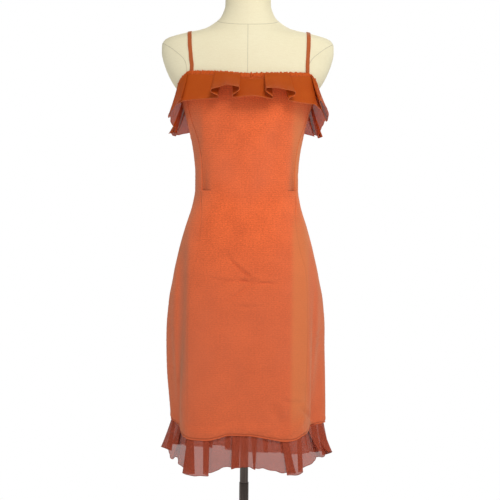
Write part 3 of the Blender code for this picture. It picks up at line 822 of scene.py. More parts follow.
# ---------------------------------------------------------------- meshes
@dataclass
class Workroom:
    """Turns grids, lines and profiles into finished pieces and logs each one.

    Attributes:
        weld_distance, seam_distance: How near points are joined in a closed strip and in a turned piece.
        empty_size: The size under which a face is taken out as empty.
        bevel_angle: From which angle, in radians, a turned piece's edge is rounded.
        stitch_share: Half a stitch's length as a share of its pitch.
    """

    weld_distance: float = 2e-6
    seam_distance: float = 1e-6
    empty_size: float = 1e-7
    bevel_angle: float = 0.6
    stitch_share: float = 0.40
    stitch_radius: float = 0.00035
    materials: dict[Finish, bpy.types.Material] = field(default_factory=dict)

    def material(self, finish: Finish) -> bpy.types.Material:
        """A finish's material, made the first time that it is asked for.

        Args:
            finish: The finish.

        Returns:
            Its material.
        """
        if finish not in self.materials:
            self.materials[finish] = finish.material()
        return self.materials[finish]

    def finish(self, name: str, mesh: bpy.types.Mesh, finish: Finish, slot: Slot, sharp: float = 40.0) -> Any:
        """Makes a mesh a piece of the dressed form.

        Args:
            name: The piece's name.
            mesh: Its mesh, in place.
            finish: What it is finished with.
            slot: The record's slot for that finish; not used.
            sharp: The angle in degrees from which an edge isn't smoothed.

        Returns:
            The piece, riding on the body.
        """
        mesh.shade_smooth()
        mesh.set_sharp_from_angle(angle=math.radians(sharp))
        self.sharpen_rims(mesh)
        mesh.materials.append(self.material(finish))
        piece = bpy.data.objects.new(name, mesh)
        bpy.context.scene.collection.objects.link(piece)
        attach(piece, BODY)
        LOG.info("%s: %d faces", name, len(mesh.polygons))
        return piece

    @staticmethod
    def sharpen_rims(mesh: bpy.types.Mesh) -> None:
        """Marks the open edges sharp, so that a cut edge doesn't shade the cloth beside it.

        Args:
            mesh: The mesh.
        """
        sides = np.empty(len(mesh.loops), np.int32)
        mesh.loops.foreach_get("edge_index", sides)
        rims = np.bincount(sides, minlength=len(mesh.edges)) == 1
        if not rims.any():
            return
        sharp = mesh.attributes.get("sharp_edge") or mesh.attributes.new("sharp_edge", "BOOLEAN", "EDGE")
        marked = np.empty(len(mesh.edges), bool)
        sharp.data.foreach_get("value", marked)
        sharp.data.foreach_set("value", marked | rims)

    def grid(
        self, name: str, points: Grid, cut: Grid | None = None, shade: Grid | None = None, weld: bool = False
    ) -> bpy.types.Mesh:
        """A mesh laid through a grid of points.

        Args:
            name: The mesh's name.
            points: The points, by row and column.
            cut: Each point's place on the flat cloth, in metres.
            shade: How much painted shade darkens the cloth at each point, from 0 to 1.
            weld: Whether its ends meet, and are joined.

        Returns:
            The mesh.
        """
        rows, columns = points.shape[:2]
        shape = bmesh.new()
        bmesh.ops.create_grid(shape, x_segments=columns - 1, y_segments=rows - 1, size=1)
        mesh = bpy.data.meshes.new(name)
        shape.to_mesh(mesh)
        shape.free()
        flat = np.empty(len(mesh.vertices) * 3, np.float32)
        mesh.vertices.foreach_get("co", flat)
        flat = flat.reshape(-1, 3)
        column = np.rint((flat[:, 0] + 1) / 2 * (columns - 1)).astype(int)
        row = np.rint((flat[:, 1] + 1) / 2 * (rows - 1)).astype(int)
        mesh.vertices.foreach_set("co", points[row, column].astype(np.float32).ravel())
        if cut is not None:
            corners = np.empty(len(mesh.loops), np.int32)
            mesh.loops.foreach_get("vertex_index", corners)
            layer = mesh.uv_layers.new(name="cut")
            layer.uv.foreach_set("vector", cut[row, column][corners].astype(np.float32).ravel())
        if shade is not None:
            darker = mesh.attributes.new(GROOVE_SHADE, "FLOAT", "POINT")
            darker.data.foreach_set("value", shade[row, column].astype(np.float32))
        if weld:
            shape = bmesh.new()
            shape.from_mesh(mesh)
            bmesh.ops.remove_doubles(shape, verts=shape.verts, dist=self.weld_distance)
            shape.to_mesh(mesh)
            shape.free()
        mesh.update()
        return mesh

    def thicken(self, piece: Any, thickness: float, offset: float = -1.0) -> None:
        """Gives a piece of cloth its thickness.

        Args:
            piece: The piece.
            thickness: How thick the cloth is.
            offset: -1 where it grows inwards, 0 where it grows both ways.
        """
        modifier = piece.modifiers.new("thickness", "SOLIDIFY")
        modifier.thickness = thickness
        modifier.offset = offset

    def tube(
        self, name: str, line: Grid, up: Grid, radius: float, sides: int = 6, ring: bool = False
    ) -> bpy.types.Mesh:
        """A round thread or rolled edge along a line.

        Args:
            name: The mesh's name.
            line: The points down its middle; a ring's last point isn't its first again.
            up: A direction at each point that isn't along the line.
            radius: Half its thickness.
            sides: How many sides it has.
            ring: Whether it closes on itself.

        Returns:
            The mesh.
        """
        if ring:
            ahead = unit(np.roll(line, -1, axis=0) - np.roll(line, 1, axis=0))
        else:
            ahead = unit(np.gradient(line, axis=0))
        side = unit(np.cross(ahead, up))
        over = np.cross(side, ahead)
        angle = np.linspace(0, WHOLE_TURN, sides + 1)[:, None, None]
        points = line[None] + radius * (np.cos(angle) * side[None] + np.sin(angle) * over[None])
        if ring:
            points = np.concatenate([points, points[:, :1]], axis=1)
        else:
            first, last = (end[None, None] + 0 * points[:, :1] for end in (line[0], line[-1]))
            points = np.concatenate([first, points, last], axis=1)
        mesh = self.grid(name, points, weld=True)
        shape = bmesh.new()
        shape.from_mesh(mesh)
        bmesh.ops.dissolve_degenerate(shape, edges=shape.edges, dist=self.empty_size)
        bmesh.ops.recalc_face_normals(shape, faces=shape.faces)
        shape.to_mesh(mesh)
        shape.free()
        return mesh

    def stitches(
        self, name: str, line: Grid, up: Grid, pitch: float, keep: Callable[[int], bool] | None = None
    ) -> bpy.types.Mesh:
        """A row of lockstitches, each one a small lozenge of thread lying on the cloth.

        Args:
            name: The mesh's name.
            line: The line that they follow.
            up: The way out of the cloth at each point of the line.
            pitch: From one stitch to the next.
            keep: Says of an index on the line whether a stitch is made there.

        Returns:
            The mesh.
        """
        along = length_along(line)
        shape = bmesh.new()
        for place in np.arange(pitch / 2, along[-1], pitch):
            index = int(np.clip(np.searchsorted(along, place), 1, len(line) - 1))
            if keep and not keep(index):
                continue
            middle = Vector([np.interp(place, along, line[:, axis]) for axis in range(3)])
            ahead = Vector(line[index] - line[index - 1]).normalized()
            out = Vector(up[index]).normalized()
            side = out.cross(ahead).normalized()
            turned = Matrix((ahead, side, ahead.cross(side))).transposed().to_4x4()
            half, thick = self.stitch_share * pitch, self.stitch_radius
            size = Matrix.Diagonal((half, thick, thick, 1.0))
            matrix = Matrix.Translation(middle) @ turned @ size
            bmesh.ops.create_icosphere(shape, subdivisions=1, radius=1.0, matrix=matrix)
        mesh = bpy.data.meshes.new(name)
        shape.to_mesh(mesh)
        shape.free()
        return mesh

    def turned(
        self, name: str, profile: list[tuple[float, float]], bevel: float, segments: int = 96
    ) -> bpy.types.Mesh:
        """A turned piece of metal.

        Args:
            name: The mesh's name.
            profile: Its radius and height at each corner, upwards along the outside, closed by the axis or a
                bore.
            bevel: How far its sharp edges are rounded.
            segments: How many sides it has.

        Returns:
            The mesh.
        """
        shape = bmesh.new()
        points = [shape.verts.new((radius, 0, z)) for radius, z in profile]
        for first, second in zip(points, points[1:]):
            shape.edges.new((first, second))
        bored = profile[0][0] > 0
        if bored:
            shape.edges.new((points[-1], points[0]))
        bmesh.ops.spin(
            shape, geom=shape.verts[:] + shape.edges[:], axis=(0, 0, 1), cent=(0, 0, 0), angle=WHOLE_TURN,
            steps=segments, use_merge=True, use_duplicate=False,
        )
        bmesh.ops.remove_doubles(shape, verts=shape.verts, dist=self.seam_distance)
        bmesh.ops.recalc_face_normals(shape, faces=shape.faces)
        inner = [edge for edge in shape.edges if len(edge.link_faces) == 2]
        edges = [edge for edge in inner if edge.calc_face_angle() > self.bevel_angle]
        bmesh.ops.bevel(shape, geom=edges, offset=bevel, segments=3, profile=0.5, affect="EDGES", material=-1)
        mesh = bpy.data.meshes.new(name)
        shape.to_mesh(mesh)
        shape.free()
        return mesh


ROOM = Workroom()
KNIT_FINISH = KnitFinish()
STRAP_FINISH = KnitFinish(
    "strap_knit", colour(0.480, 0.105, 0.026), colour(0.360, 0.070, 0.018), colour(0.440, 0.105, 0.032)
)
BUST_CHIFFON = ChiffonFinish(
    "bust_chiffon", colour(0.510, 0.078, 0.006), colour(0.590, 0.112, 0.012), cover=0.70, rear_cover=0.74
)
# Painted shade: a darker copy of the bust chiffon, for the less light that the hanging hem ruffle gets.
HEM_CHIFFON = ChiffonFinish(
    "hem_chiffon", colour(0.400, 0.062, 0.024), colour(0.470, 0.096, 0.058), cover=0.62, rear_cover=0.57
)
BINDING_FINISH = ChiffonFinish(
    "gathered_binding", colour(0.480, 0.070, 0.008), colour(0.610, 0.110, 0.016), cover=1.0
)
BUST_EDGE_FINISH = ChiffonFinish(
    "bust_rolled_edge", colour(0.480, 0.090, 0.022), colour(0.640, 0.150, 0.048), cover=0.90, rear_cover=0.80
)
# Painted shade: darker than the bust's rolled edge, for the less light at the hem.
HEM_EDGE_FINISH = ChiffonFinish(
    "hem_rolled_edge", colour(0.270, 0.038, 0.010), colour(0.380, 0.064, 0.018), cover=0.80, rear_cover=0.70
)
JERSEY_FINISH = JerseyFinish()
RUST_THREAD = ThreadFinish("rust_thread", colour(0.480, 0.090, 0.028))
# The seam cords' colour: the cord's own thread, made darker than the cover as painted shade for the shadow
# down in each seam's groove.
CREAM_THREAD = ThreadFinish("cream_seam", colour(0.640, 0.570, 0.410))
TUBE_FINISH = SteelFinish()
PLATE_FINISH = SteelFinish("turned_plate", lines=(60.0, 60.0, 60.0), roughness=0.34)


# ---------------------------------------------------------------- the figure
@dataclass(frozen=True)
class Figure:
    """The general figure that the form has and the dress is cut for: superellipse sections round the pole."""

    @staticmethod
    def radius(turn: Grid | float, z: Grid | float) -> Grid:
        """How far its surface is from the pole's axis.

        Args:
            turn: The turn of each place.
            z: The height of each place.

        Returns:
            The distance at each place.
        """
        rows = FIGURE_SECTIONS
        across, along = np.abs(np.sin(np.radians(turn))), np.cos(np.radians(turn))
        half_width, front, back, power = (
            smooth(rows["z"], rows[key], z) for key in ("half_width", "front", "back", "squareness")
        )
        depth = np.where(along > 0, front, back)
        return ((across / half_width) ** power + (np.abs(along) / depth) ** power) ** (-1 / power)

    @staticmethod
    def place(turn: Grid, z: Grid, radius: Grid) -> Grid:
        """Points at that turn and height, that far from the axis."""
        angle = np.radians(turn)
        return np.stack([radius * np.sin(angle), -radius * np.cos(angle), z + 0 * radius], axis=-1)


@dataclass
class DressForm:
    """The padded torso, its seams, and the way rays find its surface.

    Attributes:
        neck_slope: How much lower the neck's seam is in front, for each metre forward.
        neck_half_depth: How far from the axis the centre seams begin.
        seam_sunk: How far a cord's middle is sunk into the cover.
    """

    bottom: float = 0.735
    top: float = 1.500
    foot_rounding: float = 0.010
    top_rounding: float = 0.006
    columns: int = 144
    rows: int = 150
    neck_height: float = 1.410
    neck_slope: float = 0.30
    neck_half_depth: float = 0.06
    seam_end: float = 0.012
    arm_height: float = 1.272
    arm_half_height: float = 0.083
    arm_half_depth: float = 0.068
    seam_radius: float = 0.0008
    seam_sunk: float = 0.00035
    ring_points: int = 120
    line_points: int = 160
    tree: BVHTree = field(init=False)

    def radius(self, turn: float, z: float) -> float:
        """The torso's surface, rounded in at its foot and at the top of its neck.

        Args:
            turn: The turn of a place.
            z: Its height.

        Returns:
            How far the surface is from the pole's axis there.
        """
        foot = min((z - self.bottom) / self.foot_rounding, 1)
        head = min((self.top - z) / self.top_rounding, 1)
        inward = self.foot_rounding * (1 - math.sqrt(max(0.0, 1 - (1 - foot) ** 2)))
        inward += self.top_rounding * (1 - math.sqrt(max(0.0, 1 - (1 - head) ** 2)))
        return float(Figure.radius(turn, z)) - inward

    def build(self) -> None:
        """Makes the torso and its seams."""
        corner = 1 - np.cos(np.linspace(0, math.pi / 2, 5))
        middle = np.linspace(self.bottom + self.foot_rounding, self.top - self.top_rounding, self.rows)
        foot = self.bottom + self.foot_rounding * corner[:-1]
        levels = np.concatenate([foot, middle, self.top - self.top_rounding * corner[-2::-1]])
        shape = bmesh.new()
        bmesh.ops.create_cone(shape, cap_ends=True, segments=self.columns, radius1=1, radius2=1, depth=1)
        upright = [edge for edge in shape.edges if abs(edge.verts[0].co.z - edge.verts[1].co.z) > 0.5]
        bmesh.ops.subdivide_edges(shape, edges=upright, cuts=len(levels) - 2, use_grid_fill=True)
        turns = np.array([math.degrees(math.atan2(vert.co.x, -vert.co.y)) for vert in shape.verts])
        index = np.array([round((vert.co.z + 0.5) * (len(levels) - 1)) for vert in shape.verts])
        radii = np.array([self.radius(turn, levels[i]) for turn, i in zip(turns, index)])
        for vert, point in zip(shape.verts, Figure.place(turns, levels[index], radii)):
            vert.co = point
        bmesh.ops.recalc_face_normals(shape, faces=shape.faces)
        self.tree = BVHTree.FromBMesh(shape)
        mesh = bpy.data.meshes.new("torso")
        shape.to_mesh(mesh)
        shape.free()
        torso = ROOM.finish("torso", mesh, JERSEY_FINISH, Slot.JERSEY)
        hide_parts("form_torso")
        self.build_seams()

    def hit(
        self, start: tuple[float, float, float], ray: tuple[float, float, float]
    ) -> tuple[Grid, Grid] | None:
        """Where a ray from inside meets the torso, and the way out there."""
        place, normal, _, _ = self.tree.ray_cast(Vector(start), Vector(ray))
        return None if place is None else (np.array(place), np.array(normal))

    def seam(self, name: str, hits: list[tuple[Grid, Grid]], ring: bool) -> None:
        """A seam: a fine cord sunk into the cover.

        Args:
            name: The piece's name.
            hits: The places along it and the way out at each.
            ring: Whether it closes on itself.
        """
        line = np.array([place for place, _ in hits])
        out = np.array([normal for _, normal in hits])
        mesh = ROOM.tube(name, line - out * self.seam_sunk, out, self.seam_radius, 6, ring)
        ROOM.finish(name, mesh, CREAM_THREAD, Slot.JERSEY)

    def build_seams(self) -> None:
        """The seam round the neck, the two that run down the middle, and the one round each arm plate."""
        angles = np.linspace(0, WHOLE_TURN, self.ring_points + 1)[:-1]
        ring = []
        for angle in angles:
            ray = (math.sin(angle), -math.cos(angle), -math.cos(angle) * self.neck_slope)
            ring.append(self.hit((0, 0, self.neck_height), ray))
        self.seam("neck_seam", ring, True)
        for name, side in (("centre_front_seam", -1), ("centre_back_seam", 1)):
            top = self.neck_height + side * self.neck_slope * self.neck_half_depth
            heights = np.linspace(top, self.bottom + self.seam_end, self.line_points)
            self.seam(name, [self.hit((0, 0, z), (0, side, 0)) for z in heights], False)
        for name, side in (("arm_seam_left", -1), ("arm_seam_right", 1)):
            ring = []
            for angle in angles:
                y = self.arm_half_depth * math.sin(angle)
                z = self.arm_height + self.arm_half_height * math.cos(angle)
                found = self.hit((0, y, z), (side, 0, 0))
                if found:
                    ring.append(found)
            self.seam(name, ring, True)


# ---------------------------------------------------------------- the dress's surface
@dataclass(frozen=True)
class DressSurface:
    """The outside of the knitted cloth, with its seams, cuts and creases. A turn's size is in degrees.

    Attributes:
        wing_spread: How wide each pressed side seam's wing is, as a turn.
        tuck_z, tuck_turn: The waist cuts' height, and how far their step reaches beside each seam.
        tuck_in, tuck_out: How far the cloth is pinched in over a cut and let out under it.
        tuck_step, tuck_fade: Half the height of the step, and how far up and down it fades.
        seam_lift: How far the cloth stands off at the waist over each long seam.
        hollow_depth, hollow_inset: The depth of the hollow over each cut, and its turn from the seam.
        bridge_rise: How far the front stands off over the waist, between the cuts.
        bridge_turn: How far inside the seams it does so wholly.
        nominal_hem, nominal_top: The hem's and the top edge's level, which the rows are counted by.
        calm_low, calm_high: Between these levels the rows are level.
        skirt_groove_share: How much of a seam's groove is left in the skirt.
        pucker, pucker_period, pucker_reach: The puckers beside a seam: height, spacing and reach.
    """

    wing_spread: float = 6.5
    tuck_z: float = 1.022
    tuck_turn: float = 10.0
    tuck_in: float = 0.0009
    tuck_out: float = 0.0014
    tuck_step: float = 0.0005
    tuck_fade: float = 0.016
    seam_lift: float = 0.0020
    seam_lift_turn: float = 12.0
    seam_lift_height: float = 0.070
    hollow_depth: float = 0.0028
    hollow_inset: float = 4.4
    hollow_turn: float = 4.8
    hollow_height: float = 0.050
    bridge_rise: float = 0.0030
    bridge_turn: float = 26.0
    bridge_middle: float = 0.02
    bridge_height: float = 0.075
    nominal_hem: float = 0.462
    nominal_top: float = 1.283
    calm_low: float = 0.56
    calm_high: float = 1.12
    groove: float = 0.0011
    groove_width: float = 0.0013
    skirt_groove_share: float = 0.18
    skirt_top: float = 0.93
    skirt_fade: float = 0.08
    swell_place: float = 0.004
    swell_width: float = 0.0025
    pucker: float = 0.0005
    pucker_period: float = 0.011
    pucker_reach: float = 0.007

    def radius(self, turn: Grid | float, z: Grid | float) -> Grid:
        """How far the smooth cloth is from the pole's axis.

        Args:
            turn: The turn of each place.
            z: The height of each place.

        Returns:
            The distance at each place.
        """
        wings = sum(
            smooth(DRESS_EASE["z"], DRESS_EASE[f"wing_{side}"], z)
            * bell(signed_turn(turn - UPRIGHT_SEAMS[f"side_{side}"]), self.wing_spread)
            for side in ("left", "right")
        )
        ease = smooth(DRESS_EASE["z"], DRESS_EASE["ease"], z)
        return Figure.radius(turn, z) + ease + wings + self.tuck(turn, z)

    def tuck(self, turn: Grid, z: Grid) -> Grid:
        """The small step at the cuts across the waist: pinched in above a cut and let out under it.

        Args:
            turn: The turn of each place.
            z: The height of each place.

        Returns:
            How far each place is moved out.
        """
        inward, rise = self.from_front_seams(turn, z), z - self.tuck_z
        near = ease_in_out(1 - np.abs(inward) / self.tuck_turn)
        over = (1 + np.tanh(rise / self.tuck_step)) / 2
        fade = np.exp(-np.abs(rise) / self.tuck_fade)
        step = ((1 - over) * self.tuck_out - over * self.tuck_in) * near * fade
        lift = self.seam_lift * bell(inward, self.seam_lift_turn) * bell(rise, self.seam_lift_height)
        inside = ease_in_out(inward / self.bridge_turn)
        bridge = self.bridge_rise * inside * bell(rise - self.bridge_middle, self.bridge_height)
        return step + lift + bridge - self.hollow_depth * self.hollow(turn, z)

    @staticmethod
    def from_front_seams(turn: Grid, z: Grid) -> Grid:
        """How far inside the front panel a place is, in degrees from the nearer of its long seams."""
        left, right = (smooth(SEAM_TURNS["z"], SEAM_TURNS[side], z) for side in ("front_left", "front_right"))
        return np.minimum(turn - left, right - turn)

    def hollow(self, turn: Grid, z: Grid) -> Grid:
        """The hollow over each waist cut.

        Args:
            turn: The turn of each place.
            z: The height of each place.

        Returns:
            0 around the hollow, and up to 1 where it is deepest.
        """
        rise = z - self.tuck_z
        over = (1 + np.tanh(rise / self.tuck_step)) / 2 * bell(rise, self.hollow_height)
        return over * bell(self.from_front_seams(turn, z) - self.hollow_inset, self.hollow_turn)

    def point(self, turn: Grid | float, z: Grid | float, out: Grid | float = 0.0) -> Grid:
        """Points of the smooth cloth, moved out along its normal."""
        turn, z = np.broadcast_arrays(np.asarray(turn, float), np.asarray(z, float))
        return Figure.place(turn, z, self.radius(turn, z)) + self.normal(turn, z) * np.asarray(out)[..., None]

    def normal(self, turn: Grid, z: Grid) -> Grid:
        """The way out of the smooth cloth.

        Args:
            turn: The turn of each place.
            z: The height of each place.

        Returns:
            A direction at each place.
        """
        turns, heights = (turn + 0.5, turn - 0.5), (z + 0.001, z - 0.001)
        after, before = (Figure.place(beside, z, self.radius(beside, z)) for beside in turns)
        over, under = (Figure.place(turn, beside, self.radius(turn, beside)) for beside in heights)
        return unit(np.cross(after - before, over - under))

    @staticmethod
    def top_edge(turn: Grid) -> Grid:
        """Height of the top edge."""
        return smooth(TOP_EDGE["turn"], TOP_EDGE["z"], signed_turn(turn))

    @staticmethod
    def hem_edge(turn: Grid) -> Grid:
        """Height of the knitted hem."""
        return smooth(HEM_EDGE["turn"], HEM_EDGE["z"], signed_turn(turn))

    def height(self, turn: Grid, level: Grid) -> Grid:
        """The height of a row: level in the middle, and running out to the lines of the hem and the top.

        Args:
            turn: The turn of each place.
            level: Its row's level.

        Returns:
            The height at each place.
        """
        low = (self.calm_low - level) / (self.calm_low - self.nominal_hem)
        high = (level - self.calm_high) / (self.nominal_top - self.calm_high)
        under = self.calm_low - low * (self.calm_low - self.hem_edge(turn))
        over = self.calm_high + high * (self.top_edge(turn) - self.calm_high)
        return np.where(level < self.calm_low, under, np.where(level > self.calm_high, over, level))

    @staticmethod
    def seam_turn(name: str, level: Grid) -> Grid:
        """The turn of a long seam.

        Args:
            name: The seam's name.
            level: The levels at which it is read.

        Returns:
            Its turn at each level.
        """
        if name in SEAM_TURNS:
            return smooth(SEAM_TURNS["z"], SEAM_TURNS[name], level)
        return UPRIGHT_SEAMS[name] + 0 * level

    def creases(self, turn: Grid, z: Grid) -> Grid:
        """The soft creases, each one a trough with a low ridge along one side of it.

        Args:
            turn: The turn of each place.
            z: The height of each place.

        Returns:
            How far each place is moved out.
        """
        metres = np.radians(Figure.radius(turn, z))
        moved = np.zeros(np.shape(turn))
        for middle, height, angle, half, width, depth in zip(*CREASES.values()):
            across, up = signed_turn(turn - middle) * metres, z - height
            cos, sin = math.cos(math.radians(angle)), math.sin(math.radians(angle))
            along, over = across * cos + up * sin, up * cos - across * sin
            over = over - 0.10 * along**2 / half
            fade = np.exp(-((along / half) ** 4))
            trough = np.exp(-((over / width) ** 2))
            ridge = np.exp(-(((over - 2.0 * width) / (1.5 * width)) ** 2))
            moved -= depth * fade * (trough - 0.55 * ridge)
        return moved

    def seam_relief(self, distance: Grid, z: Grid, seed: int) -> Grid:
        """The groove of a seam, with the cloth puckered beside it.

        Args:
            distance: How far each point is from the seam.
            z: Its height.
            seed: Which seam it is.

        Returns:
            How far each point moves.
        """
        upper = ease_in_out((z - self.skirt_top) / self.skirt_fade)
        share = self.skirt_groove_share + (1 - self.skirt_groove_share) * upper
        depth = self.groove * share
        groove = -depth * np.exp(-((distance / self.groove_width) ** 2))
        swell = 0.35 * depth * np.exp(-(((distance - self.swell_place) / self.swell_width) ** 2))
        ripple = self.pucker * (0.4 + 0.6 * share) * wander(z, self.pucker_period, seed)
        ripple = ripple * np.exp(-distance / self.pucker_reach)
        return groove + swell + ripple * (1 - np.exp(-((distance / 0.002) ** 2)))


SURFACE = DressSurface()


@dataclass
class Panel:
    """One knitted panel between two long seams.

    Attributes:
        seeds: Which puckers each of its seams has.
        usual_radius: How far a panel is from the axis, for the number of its columns.
        near_seam, near_hem, near_cut, near_top: Where the close columns and rows stand, from each of these.
        hem_ridge: How far the hem's lip stands out.
        hem_groove, hem_groove_rise, hem_groove_width: The stitched groove's depth, place and half width.
        cut_groove, cut_puff: How deep a cut's stitched line is, and how far the cloth puffs out under it.
    """

    name: str
    first_seam: str
    second_seam: str
    seeds: tuple[int, int]
    thickness: float = 0.0012
    row_step: float = 0.0042
    column_step: float = 0.0036
    usual_radius: float = 0.14
    near_seam: tuple[float, ...] = (0.0, 0.0007, 0.0014, 0.0022, 0.0032, 0.0046, 0.0066)
    near_hem: tuple[float, ...] = (0, 0.0007, 0.0014, 0.0022, 0.0030, 0.0038, 0.0046, 0.0054, 0.0064, 0.0080)
    near_cut: tuple[float, ...] = (0.0003, 0.0009, 0.0018, 0.003)
    near_top: tuple[float, ...] = (0.0105, 0.008, 0.005, 0.002, 0.0)
    hem_ridge: float = 0.0002
    hem_groove: float = 0.0014
    hem_groove_rise: float = 0.0042
    hem_groove_width: float = 0.0012
    hem_swell: float = 0.0010
    hem_swell_rise: float = 0.0125
    hem_swell_width: float = 0.0060
    cut_length: float = 0.030
    cut_groove: float = 0.0007
    cut_puff: float = 0.0010

    def levels(self) -> Grid:
        """The rows' levels, close together at the hem, at the waist cuts and under the binding.

        Returns:
            The levels, from the hem up.
        """
        low, high = SURFACE.nominal_hem, SURFACE.nominal_top
        even = np.arange(low + 0.011, high - 0.013, self.row_step)
        even = even[np.abs(even - SURFACE.tuck_z) > 0.004]
        beside = np.array(self.near_cut)
        waist = SURFACE.tuck_z + np.concatenate([-beside[::-1], beside])
        top = high - np.array(self.near_top)
        return np.sort(np.concatenate([low + np.array(self.near_hem), even, waist, top]))

    def shares(self, width: float) -> Grid:
        """Where the columns stand, close together at both seams.

        Args:
            width: The panel's width.

        Returns:
            Their places as shares of the width.
        """
        near = np.array(self.near_seam) / width
        inner = np.linspace(near[-1], 1 - near[-1], int(width / self.column_step))[1:-1]
        return np.concatenate([near, inner, (1 - near)[::-1]])

    def build(self) -> None:
        """Makes the panel."""
        level = self.levels()[:, None]
        seams = [SURFACE.seam_turn(seam, level) for seam in (self.first_seam, self.second_seam)]
        widest = np.radians(float(np.max(seams[1] - seams[0]))) * self.usual_radius
        share = self.shares(widest)[None, :]
        turn = seams[0] + share * (seams[1] - seams[0])
        z = SURFACE.height(turn, level)
        smooth_points = SURFACE.point(turn, z)
        steps = np.linalg.norm(np.diff(smooth_points, axis=1), axis=2)
        across = np.concatenate([np.zeros((len(level), 1)), np.cumsum(steps, axis=1)], axis=1)
        to_second = across[:, -1:] - across
        relief = SURFACE.creases(turn, z)
        relief = relief + SURFACE.seam_relief(across, z, self.seeds[0])
        relief = relief + SURFACE.seam_relief(to_second, z, self.seeds[1])
        relief = relief + self.hem_relief(turn, level)
        if self.name == "front_centre":
            relief = relief + self.cut_relief(across, to_second, z)
        points = smooth_points + SURFACE.normal(turn, z) * relief[..., None]
        middle = across - across[:, -1:] / 2
        cut = np.stack([middle, z + 0 * across], axis=-1)
        mesh = ROOM.grid(self.name, points, cut, self.shade(turn, z, level, across, to_second))
        piece = ROOM.finish(f"knit_{self.name}", mesh, KNIT_FINISH, Slot.KNIT, 50)
        ROOM.thicken(piece, self.thickness)
        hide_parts(self.name)

    def shade(self, turn: Grid, z: Grid, level: Grid, across: Grid, to_second: Grid) -> Grid:
        """The painted shade in the seams, over the hem's stitches and on its lip, along the waist cuts and in
        the hollows over them.

        Args:
            turn: The turn of each point.
            z: Its height.
            level: Its row's level.
            across: How far it is from the first seam.
            to_second: How far it is from the second one.

        Returns:
            How much darker the cloth is at each point, from 0 to 1.
        """
        near = np.minimum(across, to_second)
        upper = ease_in_out((z - SURFACE.skirt_top) / SURFACE.skirt_fade)
        # Painted shade down in the seams' grooves, over the hem's groove and on its lip.
        seams = (0.12 + 0.25 * upper) * bell(near, 0.0009)
        up = level - SURFACE.nominal_hem
        hem = np.maximum(0.34 * bell(up - self.hem_groove_rise, 0.0009), 0.16 * ease_in_out(2 - up / 0.002))
        shade = np.maximum(seams, hem)
        if self.name == "front_centre":
            # Painted shade along each waist cut's line and in the hollow over it, where the cloth slopes away
            # from the light.
            reach = ease_in_out((self.cut_length - near) / 0.004)
            cut = 0.70 * reach * bell(z - SURFACE.tuck_z - 0.0006, 0.0008)
            shade = np.maximum(shade, np.maximum(cut, 0.36 * SURFACE.hollow(turn, z)))
        return shade

    def hem_relief(self, turn: Grid, level: Grid) -> Grid:
        """The hem's rolled lip, the stitched groove over it and the soft swell above.

        Args:
            turn: The turn of each point.
            level: Its row's level.

        Returns:
            How far each point is moved out.
        """
        up = level - SURFACE.nominal_hem
        lip = self.hem_ridge * np.exp(-((up / 0.0024) ** 4))
        groove = -self.hem_groove * np.exp(-(((up - self.hem_groove_rise) / self.hem_groove_width) ** 2))
        swell = self.hem_swell * np.exp(-(((up - self.hem_swell_rise) / self.hem_swell_width) ** 2))
        return lip + groove + swell * (0.8 + 0.7 * wander(turn, 17.0, 5))

    def cut_relief(self, across: Grid, to_second: Grid, z: Grid) -> Grid:
        """The stitched line of each short waist cut, running inward from its seam.

        Args:
            across: How far each point is from the first seam.
            to_second: How far it is from the second one.
            z: Its height.

        Returns:
            How far each point is moved out.
        """
        near = np.minimum(across, to_second)
        reach = ease_in_out((self.cut_length - near) / 0.004)
        line = -self.cut_groove * np.exp(-(((z - SURFACE.tuck_z - 0.0004) / 0.0008) ** 2))
        puff = self.cut_puff * np.exp(-(((z - SURFACE.tuck_z + 0.006) / 0.005) ** 2))
        return reach * (line + puff)


